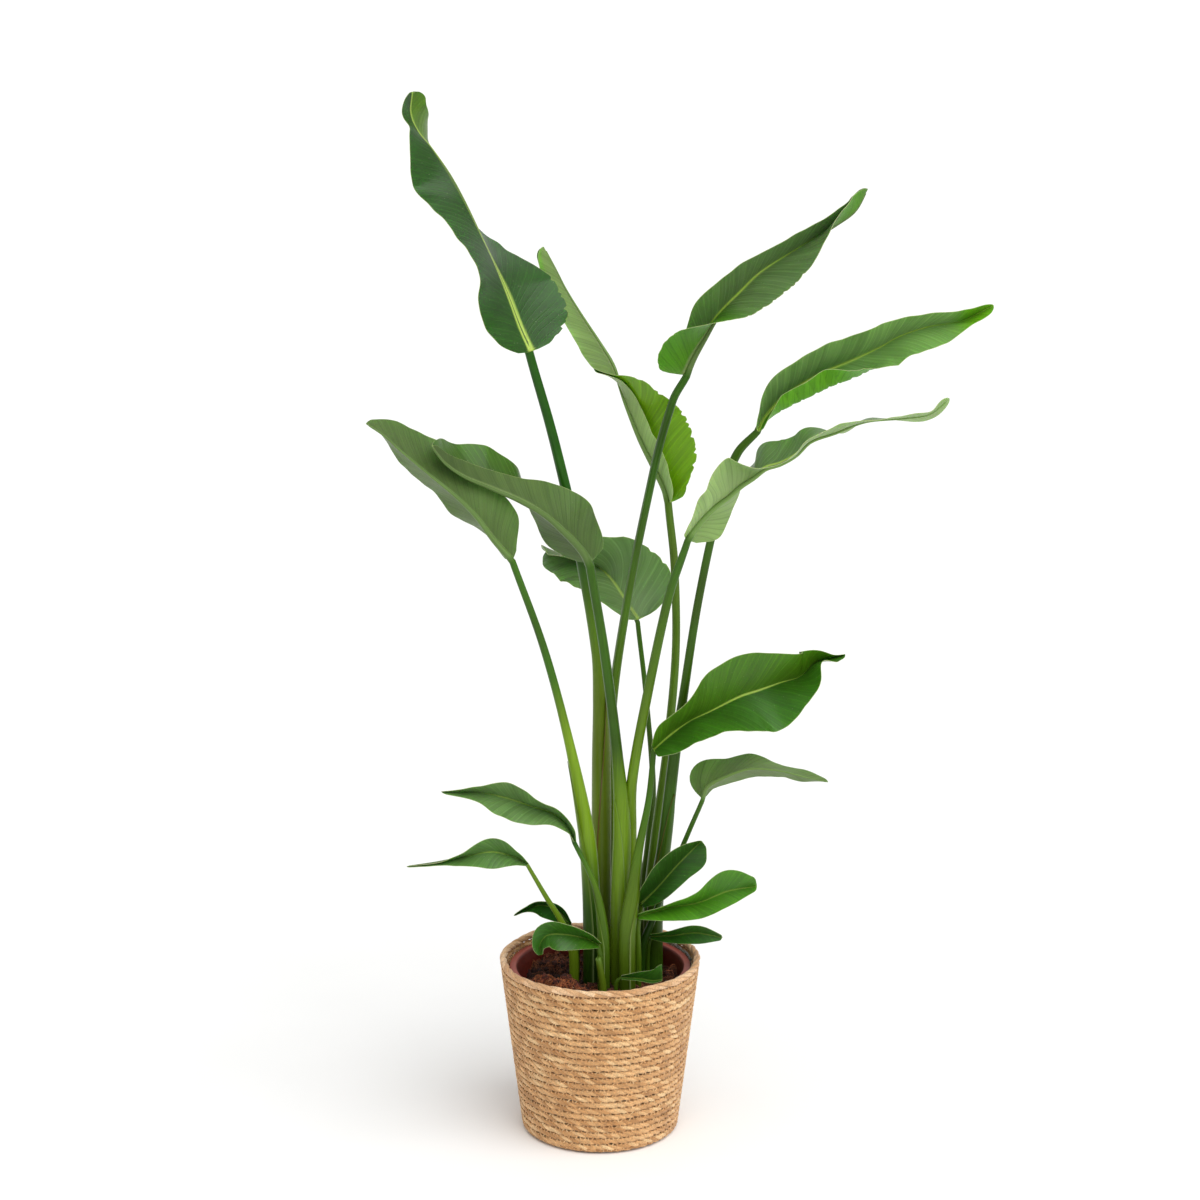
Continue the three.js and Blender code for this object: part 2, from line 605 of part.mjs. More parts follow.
const pottedPlant = new THREE.Group();
pottedPlant.add(holder, plant);

export default pottedPlant;
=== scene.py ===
# A bird of paradise plant in its nursery pot, standing in a basket sewn from seagrass braid.
import math

import bmesh
import bpy
import numpy as np
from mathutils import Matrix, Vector, noise


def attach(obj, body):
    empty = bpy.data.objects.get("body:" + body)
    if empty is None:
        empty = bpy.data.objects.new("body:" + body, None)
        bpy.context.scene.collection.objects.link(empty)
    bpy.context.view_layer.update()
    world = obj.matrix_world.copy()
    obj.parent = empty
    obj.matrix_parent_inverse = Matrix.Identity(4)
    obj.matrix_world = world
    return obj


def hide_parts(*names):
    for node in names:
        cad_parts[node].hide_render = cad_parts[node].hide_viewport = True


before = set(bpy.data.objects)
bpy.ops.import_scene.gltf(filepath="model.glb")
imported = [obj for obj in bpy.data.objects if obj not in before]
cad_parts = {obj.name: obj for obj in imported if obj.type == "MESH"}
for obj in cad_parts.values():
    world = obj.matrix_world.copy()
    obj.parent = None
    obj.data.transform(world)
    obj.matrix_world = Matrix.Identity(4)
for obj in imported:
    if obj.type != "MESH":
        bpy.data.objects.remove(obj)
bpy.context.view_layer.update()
mm = 0.001  # tables are in millimetres, as the plant and basket were measured

# The camera comes first: it stands where the photograph was taken from.
cameraView = {"place": (0, -3.0, 1.329), "pitchDown": 14.18, "lens": 91.5, "sensor": 36}


def addCamera():
    data = bpy.data.cameras.new("photoCamera")
    data.lens = cameraView["lens"]
    data.sensor_width = cameraView["sensor"]
    camera = bpy.data.objects.new("photoCamera", data)
    camera.location = cameraView["place"]
    camera.rotation_euler = (math.radians(90 - cameraView["pitchDown"]), 0, 0)
    bpy.context.scene.collection.objects.link(camera)
    bpy.context.scene.camera = camera


addCamera()
print("camera placed")


# Small helpers for vectors, meshes and nodes

def normalised(vectors):
    return vectors / np.maximum(np.linalg.norm(vectors, axis=-1, keepdims=True), 1e-9)


def mix(a, b, share):
    return a + (b - a) * share


def smoothStep(low, high, value):
    t = np.clip((value - low) / (high - low), 0, 1)
    return t * t * (3 - 2 * t)


# The length of each step along a run of points
def stepLengths(points):
    return np.linalg.norm(np.diff(points, axis=0), axis=1)


def distancesAlong(points):
    return np.concatenate([[0], np.cumsum(stepLengths(points))])


# Rows of x, y, z and anything else, drawn as one smooth run and taken again at even steps along it.
def smoothRun(rows, count):
    rows = np.array(rows, float)
    place = distancesAlong(rows[:, :3])
    index = np.arange(len(rows))
    before = np.maximum(index - 1, 0)
    after = np.minimum(index + 1, len(rows) - 1)
    slope = (rows[after] - rows[before]) / (place[after] - place[before])[:, None]
    at = np.linspace(0, place[-1], count)
    k = np.clip(np.searchsorted(place, at), 1, len(rows) - 1)
    span = (place[k] - place[k - 1])[:, None]
    t = (at - place[k - 1])[:, None] / span
    ease = t * t * (3 - 2 * t)
    bend = slope[k - 1] * (1 - t) - slope[k] * t
    return rows[k - 1] * (1 - ease) + rows[k] * ease + span * t * (1 - t) * bend


def tangentsOf(points):
    return normalised(np.gradient(points, axis=0))


# One inside from start to end, nothing outside, with a soft change at both.
def between(start, end, soft, value):
    return smoothStep(start - soft, start + soft, value) * smoothStep(end + soft, end - soft, value)


def anglesRound(count):
    return np.linspace(0, 2 * math.pi, count, endpoint=False)


def anyPhase(random):
    return random.uniform(0, 6.28)


# Points at a radius and an angle about the upright axis
def aroundAxis(radius, angle, z):
    return np.stack(np.broadcast_arrays(radius * np.cos(angle), radius * np.sin(angle), z), axis=-1)


def spun(x, y, angle):
    return x * np.cos(angle) - y * np.sin(angle), x * np.sin(angle) + y * np.cos(angle)


# Four-sided faces over a grid of points. wrap joins the last column to the first.
def gridQuads(rows, columns, wrap=False):
    i = np.arange(rows - 1)[:, None] * columns
    j = np.arange(columns if wrap else columns - 1)[None, :]
    right = (j + 1) % columns
    corners = np.stack(np.broadcast_arrays(i + j, i + right, i + columns + right, i + columns + j), -1)
    return corners.reshape(-1, 4)

# The border of a grid of points, walked round once: each point's number and the one after it
def borderOf(rows, columns):
    index = np.arange(rows * columns).reshape(rows, columns)
    loop = np.concatenate([index[0], index[1:, -1], index[-1, -2::-1], index[-2:0:-1, 0]])
    return loop, np.roll(loop, -1)


# Triangles from a hub to a ring of points
def fan(hub, ringStart, count, reverse=False):
    near = np.arange(count)
    far = (near + 1) % count
    if reverse:
        near, far = far, near
    return np.stack([np.full(count, hub), ringStart + near, ringStart + far], axis=-1)


def addPiece(name, points, faceSets, materials, node, faceMaterial=None, values=None):
    mesh = bpy.data.meshes.new(name)
    mesh.vertices.add(len(points))
    mesh.vertices.foreach_set("co", (np.asarray(points) * mm).astype(np.float32).ravel())
    corners = np.concatenate([faces.ravel() for faces in faceSets]).astype(np.int32)
    sizes = np.concatenate([np.full(len(faces), faces.shape[1]) for faces in faceSets])
    mesh.loops.add(len(corners))
    mesh.loops.foreach_set("vertex_index", corners)
    mesh.polygons.add(len(sizes))
    mesh.polygons.foreach_set("loop_start", (np.cumsum(sizes) - sizes).astype(np.int32))
    for material in materials:
        mesh.materials.append(material)
    if faceMaterial is not None:
        mesh.polygons.foreach_set("material_index", np.asarray(faceMaterial, np.int32))
    mesh.update(calc_edges=True)
    mesh.shade_smooth()
    for label, numbers in (values or {}).items():
        attribute = mesh.attributes.new(label, "FLOAT", "POINT")
        attribute.data.foreach_set("value", np.asarray(numbers, np.float32).ravel())
    piece = bpy.data.objects.new(name, mesh)
    bpy.context.scene.collection.objects.link(piece)
    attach(piece, "root")
    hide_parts(node)
    return piece


# sRGB hex to the linear colour that shaders use
def linear(hexColour):
    shares = [int(hexColour[i:i + 2], 16) / 255 for i in (1, 3, 5)]
    return (*(c / 12.92 if c <= 0.04045 else ((c + 0.055) / 1.055) ** 2.4 for c in shares), 1)


# Adds one node: its settings, then a value or a link for each input. Colours may be hex.
def addNode(tree, kind, inputs=None, stops=None, **settings):
    node = tree.nodes.new("ShaderNode" + kind)
    for label, value in settings.items():
        setattr(node, label, value)
    for label, value in (inputs or {}).items():
        if isinstance(value, bpy.types.NodeSocket):
            tree.links.new(value, node.inputs[label])
        else:
            node.inputs[label].default_value = linear(value) if isinstance(value, str) else value
    for i, (place, colour) in enumerate(stops or []):
        ramp = node.color_ramp.elements
        stop = ramp[i] if i < 2 else ramp.new(place)
        stop.position = place
        stop.color = linear(colour)
    return node


# The nodes of one material. add gives the node itself, finish the material, and the others what the next
# node reads.
class MaterialNodes:
    def __init__(self, name):
        self.material = bpy.data.materials.new(name)
        self.material.use_nodes = True
        self.material.node_tree.nodes.clear()

    def add(self, kind, inputs=None, **settings):
        return addNode(self.material.node_tree, kind, inputs, **settings)

    def place(self):
        return self.add("TexCoord").outputs["Object"]

    def attributes(self, *names):
        return [self.add("Attribute", attribute_name=name).outputs["Fac"] for name in names]

    def times(self, a, b):
        return self.add("Math", {0: a, 1: b}, operation="MULTIPLY").outputs[0]

    def timesPlus(self, a, b, c):
        return self.add("Math", {0: a, 1: b, 2: c}, operation="MULTIPLY_ADD").outputs[0]

    def spread(self, value, low, high, start, end):
        return self.add("MapRange", {"Value": value, 1: low, 2: high, 3: start, 4: end}).outputs[0]

    # Two numbers as one place in a texture, each measured in its own length
    def scaled(self, x, xLength, y, yLength):
        inputs = {"X": self.times(x, 1 / xLength), "Y": self.times(y, 1 / yLength)}
        return self.add("CombineXYZ", inputs).outputs[0]

    def noise(self, vector, scale, detail, roughness=0.5):
        inputs = {"Vector": vector, "Scale": scale, "Detail": detail, "Roughness": roughness}
        return self.add("TexNoise", inputs).outputs[0]

    def ramp(self, value, stops):
        return self.add("ValToRGB", {"Fac": value}, stops=stops).outputs[0]

    def blend(self, share, a, b):
        return self.add("Mix", {0: share, 6: a, 7: b}, data_type="RGBA").outputs[2]

    def shaded(self, colour, value):
        return self.add("HueSaturation", {"Color": colour, "Value": value}).outputs[0]

    def bump(self, height, strength, distance):
        inputs = {"Height": height, "Strength": strength, "Distance": distance}
        return self.add("Bump", inputs).outputs[0]

    def finish(self, inputs):
        shader = self.add("BsdfPrincipled", inputs)
        self.add("OutputMaterial", {"Surface": shader.outputs[0]})
        return self.material


# Materials

# Living leaf with a waxy cuticle: deep green and half glossy above, so that it takes a soft grey sheen
# from the light. The underside has a pale bloom that scatters light, so it is greyer and nearly matt.
# Parallel veins leave the rib in a curve; between them the blade is faintly pleated.
def leafMaterial(name, look):
    nodes = MaterialNodes(name)
    vein, ribDistance, ribLine, edge = nodes.attributes("veinPlace", "ribDistance", "ribLine", "edge")
    tone, warm, shineThrough, pale = nodes.attributes("tone", "warm", "shineThrough", "pale")
    place = nodes.place()
    veinVector = nodes.scaled(vein, look["veinGap"], ribDistance, look["veinLength"])
    streaks = nodes.noise(veinVector, 1, 3, 0.6)
    mainVeins = nodes.add("TexVoronoi", {"W": nodes.times(vein, 1 / look["mainGap"]), "Scale": 1,
                                         "Randomness": 0.7}, voronoi_dimensions="1D",
                          feature="DISTANCE_TO_EDGE").outputs["Distance"]
    mainLine = nodes.spread(mainVeins, 0, 0.13, 1, 0)
    broadVector = nodes.add("VectorMath", {0: veinVector, 1: (0.16, 0.6, 1)}, operation="MULTIPLY")
    broad = nodes.noise(broadVector.outputs[0], 1, 2)
    blotch = nodes.noise(place, look["blotchScale"], 3)
    warmed = nodes.blend(warm, nodes.ramp(blotch, look["ground"]), look["young"])
    # painted light: a brighter green where light shines through the blade
    lit = nodes.blend(shineThrough, warmed, look["shineThrough"])
    # painted sheen: a grey-green cast laid on where the blade catches the light
    withRibAndSheen = nodes.blend(pale, lit, look["ribAndSheen"])
    fine = nodes.spread(streaks, 0.3, 0.7, 1 - look["streak"], 1 + look["streak"])
    wide = nodes.spread(broad, 0.3, 0.7, 1 - look["pleat"], 1 + look["pleat"])
    veinShade = nodes.timesPlus(mainLine, look["mainTone"], 1.0)
    toned = nodes.times(nodes.times(nodes.times(fine, wide), veinShade), tone)
    ribbed = nodes.blend(ribLine, nodes.shaded(withRibAndSheen, toned), look["rib"])
    edged = nodes.blend(nodes.times(edge, look["edgeShare"]), ribbed, look["margin"])
    specks = nodes.add("TexVoronoi", {"Vector": place, "Scale": look["speckScale"]}).outputs["Distance"]
    dusted = nodes.blend(nodes.spread(specks, 0, 0.09, look["speck"], 0), edged, look["dust"])
    height = nodes.timesPlus(mainLine, look["mainHeight"], nodes.timesPlus(streaks, broad, 0.8))
    return nodes.finish({
        "Base Color": dusted, "Roughness": nodes.spread(blotch, 0.3, 0.7, *look["roughness"]),
        "Normal": nodes.bump(height, look["bump"], 0.0006), "IOR": 1.42,
        "Specular IOR Level": look["specular"], "Coat Weight": look["coat"], "Coat Roughness": 0.3,
        "Sheen Weight": look["sheen"], "Sheen Roughness": 0.45, "Subsurface Weight": 0.3,
        "Subsurface Scale": 0.003, "Subsurface Radius": (0.5, 1.0, 0.15),
    })


# the fine streaks are drawn about twice as coarse as the real ones, which are too fine to show
# Two colours here are painted light: the bright green where light shines through a blade, and the grey-green
# of its painted sheen.
leafLook = {
    "upper": {
        "veinGap": 1.9, "veinLength": 60, "mainGap": 6.5, "mainTone": 0.3, "mainHeight": -0.4,
        "blotchScale": 12, "streak": 0.16, "pleat": 0.16, "ground": [(0.3, "#13300a"), (0.7, "#234a12")],
        "young": "#4a7d10", "shineThrough": "#688c08", "ribAndSheen": "#62764a", "rib": "#b4cf5c", "margin": "#a2a866",
        "dust": "#b9c29c", "edgeShare": 0.6, "speckScale": 160, "speck": 0.4, "roughness": (0.3, 0.44),
        "bump": 0.5, "specular": 0.4, "coat": 0.05, "sheen": 0,
    },
    "under": {
        "veinGap": 1.7, "veinLength": 75, "mainGap": 5.5, "mainTone": -0.22, "mainHeight": 0.4,
        "blotchScale": 11, "streak": 0.13, "pleat": 0.13, "ground": [(0.3, "#384a20"), (0.7, "#4b6130")],
        "young": "#6d854a", "shineThrough": "#447510", "ribAndSheen": "#6c7a52", "rib": "#7d9558", "margin": "#c3cb98",
        "dust": "#b9c29c", "edgeShare": 0.6, "speckScale": 160, "speck": 0.15, "roughness": (0.42, 0.55),
        "bump": 0.5, "specular": 0.25, "coat": 0, "sheen": 0.05,
    },
}
leafUpper = leafMaterial("waxyLeafUpper", leafLook["upper"])
leafUnder = leafMaterial("bloomedLeafUnder", leafLook["under"])


# Fresh green stalk: smooth, juicy and satin, with fine lengthwise fibres. It is deep green in the light,
# yellow-green where a sheath kept it covered, and its sheath margins dry to red-brown or straw.
def stalkMaterial(name, look):
    nodes = MaterialNodes(name)
    along, around, tone, warm = nodes.attributes("along", "around", "tone", "warm")
    blush, ribAndSheen, edge, margin = nodes.attributes("blush", "ribAndSheen", "edge", "margin")
    fibres = nodes.noise(nodes.scaled(around, look["fibreGap"], along, look["fibreLength"]), 1, 4, 0.55)
    cloud = nodes.noise(nodes.place(), 16, 2)
    warmed = nodes.blend(warm, nodes.ramp(cloud, look["ground"]), look["covered"])
    withRibAndSheen = nodes.blend(ribAndSheen, warmed, look["rib"])
    toned = nodes.times(nodes.spread(fibres, 0.3, 0.7, 0.84, 1.16), tone)
    blushed = nodes.blend(nodes.times(blush, fibres), nodes.shaded(withRibAndSheen, toned), look["blush"])
    marginColour = nodes.blend(margin, look["paleMargin"], look["brownMargin"])
    return nodes.finish({
        "Base Color": nodes.blend(edge, blushed, marginColour), "Roughness": 0.34,
        "Normal": nodes.bump(fibres, 0.3, 0.0005), "IOR": 1.42, "Specular IOR Level": 0.28,
        "Coat Weight": 0.03, "Coat Roughness": 0.25, "Subsurface Weight": 0.1, "Subsurface Scale": 0.002,
        "Subsurface Radius": (0.6, 1.0, 0.2),
    })


stalkLook = {
    "fibreLength": 45, "fibreGap": 1.1, "ground": [(0.32, "#173f05"), (0.68, "#265a0b")],
    "covered": "#86a81e", "rib": "#566f38", "blush": "#58401a", "paleMargin": "#5b7a2c",
    "brownMargin": "#5b2f14",
}
freshStalk = stalkMaterial("freshGreenStalk", stalkLook)


# Dried seagrass, plaited or twisted: straw coloured, matt and fibrous, each sliver a little different.
def seagrassMaterial(name, look):
    nodes = MaterialNodes(name)
    along, around, depth, hue = nodes.attributes("along", "around", "depth", "hue")
    place = nodes.place()
    fibres = nodes.noise(nodes.scaled(around, look["fibreGap"], along, look["fibreLength"]), 1, 5, 0.65)
    patches = nodes.noise(place, 60, 3)
    frays = nodes.noise(place, look["frayScale"], 3, 0.7)
    fibreShade = nodes.spread(fibres, 0.3, 0.7, look["fibreDark"], 1.16)
    patchShade = nodes.spread(patches, 0.3, 0.7, 0.93, 1.07)
    frayShade = nodes.spread(frays, 0.35, 0.65, 0.75, 1.25)
    shade = nodes.times(nodes.times(fibreShade, patchShade), frayShade)
    wearAndHighlight = nodes.shaded(nodes.ramp(hue, look["sliver"]), shade)
    # painted shade: where the depth attribute marks a seam or the rope's core, the colour darkens to the
    # hollow colour
    return nodes.finish({
        "Base Color": nodes.blend(depth, wearAndHighlight, look["hollow"]), "Roughness": 0.68,
        "Normal": nodes.bump(fibres, 0.6, 0.0006), "IOR": 1.45, "Sheen Weight": 0.15,
        "Sheen Roughness": 0.6,
    })


# The hollow colours are painted shade, for the seams between rows and the creases between the rope's slivers.
seagrassLook = {
    "braid": {
        "fibreLength": 9, "fibreGap": 0.7, "fibreDark": 0.7, "frayScale": 650, "hollow": "#743f18",
        "sliver": [(0.0, "#b3804a"), (0.25, "#c4915a"), (0.5, "#d19f67"), (0.75, "#dcac74"),
                   (1.0, "#e9c38e")],
    },
    "rope": {
        "fibreLength": 16, "fibreGap": 0.7, "fibreDark": 0.68, "frayScale": 650, "hollow": "#5a3216",
        "sliver": [(0.0, "#b98857"), (0.3, "#cf9f6e"), (0.6, "#dcaf80"), (1.0, "#ebc69c")],
    },
}
seagrassBraid = seagrassMaterial("sewnSeagrassBraid", seagrassLook["braid"])
seagrassRope = seagrassMaterial("twistedSeagrassRope", seagrassLook["rope"])


# Moulded polypropylene, terracotta brown: satin, with a faint moulded grain. The top of the rim is painted
# lighter, a painted highlight.
def potMaterial():
    nodes = MaterialNodes("mouldedPolypropylene")
    place = nodes.place()
    # painted highlight: the top of the rim is coloured a lighter brick red
    rimHighlight = nodes.attributes("edge")[0]
    cloud = nodes.noise(place, 30, 4, 0.6)
    ground = nodes.ramp(cloud, [(0.35, "#4c130b"), (0.7, "#6b2114")])
    return nodes.finish({
        "Base Color": nodes.blend(rimHighlight, ground, "#9c4230"),
        "Roughness": nodes.spread(cloud, 0.3, 0.7, 0.36, 0.52),
        "Normal": nodes.bump(nodes.noise(place, 1800, 2), 0.15, 0.0002), "IOR": 1.49,
    })


# Clear polyethylene film, blown and heat sealed: colourless and glossy, so that only its creases and
# its edge catch the light.
def filmMaterial():
    nodes = MaterialNodes("blownPolyethyleneFilm")
    creases = nodes.noise(nodes.place(), 70, 3)
    return nodes.finish({
        "Base Color": "#e9e7df", "Roughness": 0.14, "Normal": nodes.bump(creases, 0.7, 0.001),
        "IOR": 1.51, "Transmission Weight": 0.8,
    })


# Peat and coir compost: red-brown, moist and crumbly, so it is matt with a broken surface.
def soilMaterial(name, look):
    nodes = MaterialNodes(name)
    tone = nodes.attributes("tone")[0]
    crumbs = nodes.noise(nodes.place(), look["scale"], 6, 0.7)
    return nodes.finish({
        "Base Color": nodes.shaded(nodes.ramp(crumbs, look["ground"]), tone),
        "Roughness": look["roughness"], "Normal": nodes.bump(crumbs, 1.0, 0.003),
    })


soilLook = {
    "compost": {"scale": 240, "roughness": 0.9,
                "ground": [(0.36, "#140503"), (0.54, "#4a1d0f"), (0.74, "#955030")]},
    "fibre": {"scale": 500, "roughness": 0.7, "ground": [(0.3, "#6e3018"), (0.7, "#bb7040")]},
    "crumb": {"scale": 700, "roughness": 0.85, "ground": [(0.3, "#a78f74"), (0.7, "#d8c8ae")]},
}
potPlastic = potMaterial()
clearFilm = filmMaterial()
compost = soilMaterial("moistCompost", soilLook["compost"])
coirFibre = soilMaterial("looseCoirFibre", soilLook["fibre"])
paleCrumb = soilMaterial("paleCrumbs", soilLook["crumb"])
print("materials made")


# The plant. stalk: [x, y, z, radius] from the soil to the neck, where the blade starts.
# rib: [x, y, z, left lift, right lift, left width, right width] from the neck to the tip. A lift is the
# angle of a half blade about the rib: 0 lies in the upright plane that faces the front, 90 points to the
# front, -90 to the back. sweep: how far rows lean back at the neck. curl: [share along the rib, degrees]
# by which the outer part of a half blade turns over. bow: degrees by which a half blade arches. upper:
# which way the upper face looks. tone: brightness of the upper and of the under face, set leaf by leaf to
# how light each one looks, so partly its own shade and partly painted light and shade. young: [share, how
# yellow-green]. wave: ripple of the margins, in degrees. ragged: [side, from, to, mm]. lush and pale:
# [face, side, from, to, share of the half width, amount]: painted light, a brighter green where light
# shines through a blade, and a painted grey-green sheen where it catches the light. warm, blush: [height,
# how yellow] and [height, how brown] of the stalk.
# What a leaf's own entry leaves out is as in plainLeaf.
plainLeaf = {
    "sweep": [-0.1, -0.1], "curl": [[[0, 0]], [[0, 0]]], "bow": 8, "upper": "front", "wave": 4,
    "young": [[0, 0.1], [1, 0.1]], "ragged": [], "shineThrough": [], "pale": [], "blush": [[0, 0]],
}
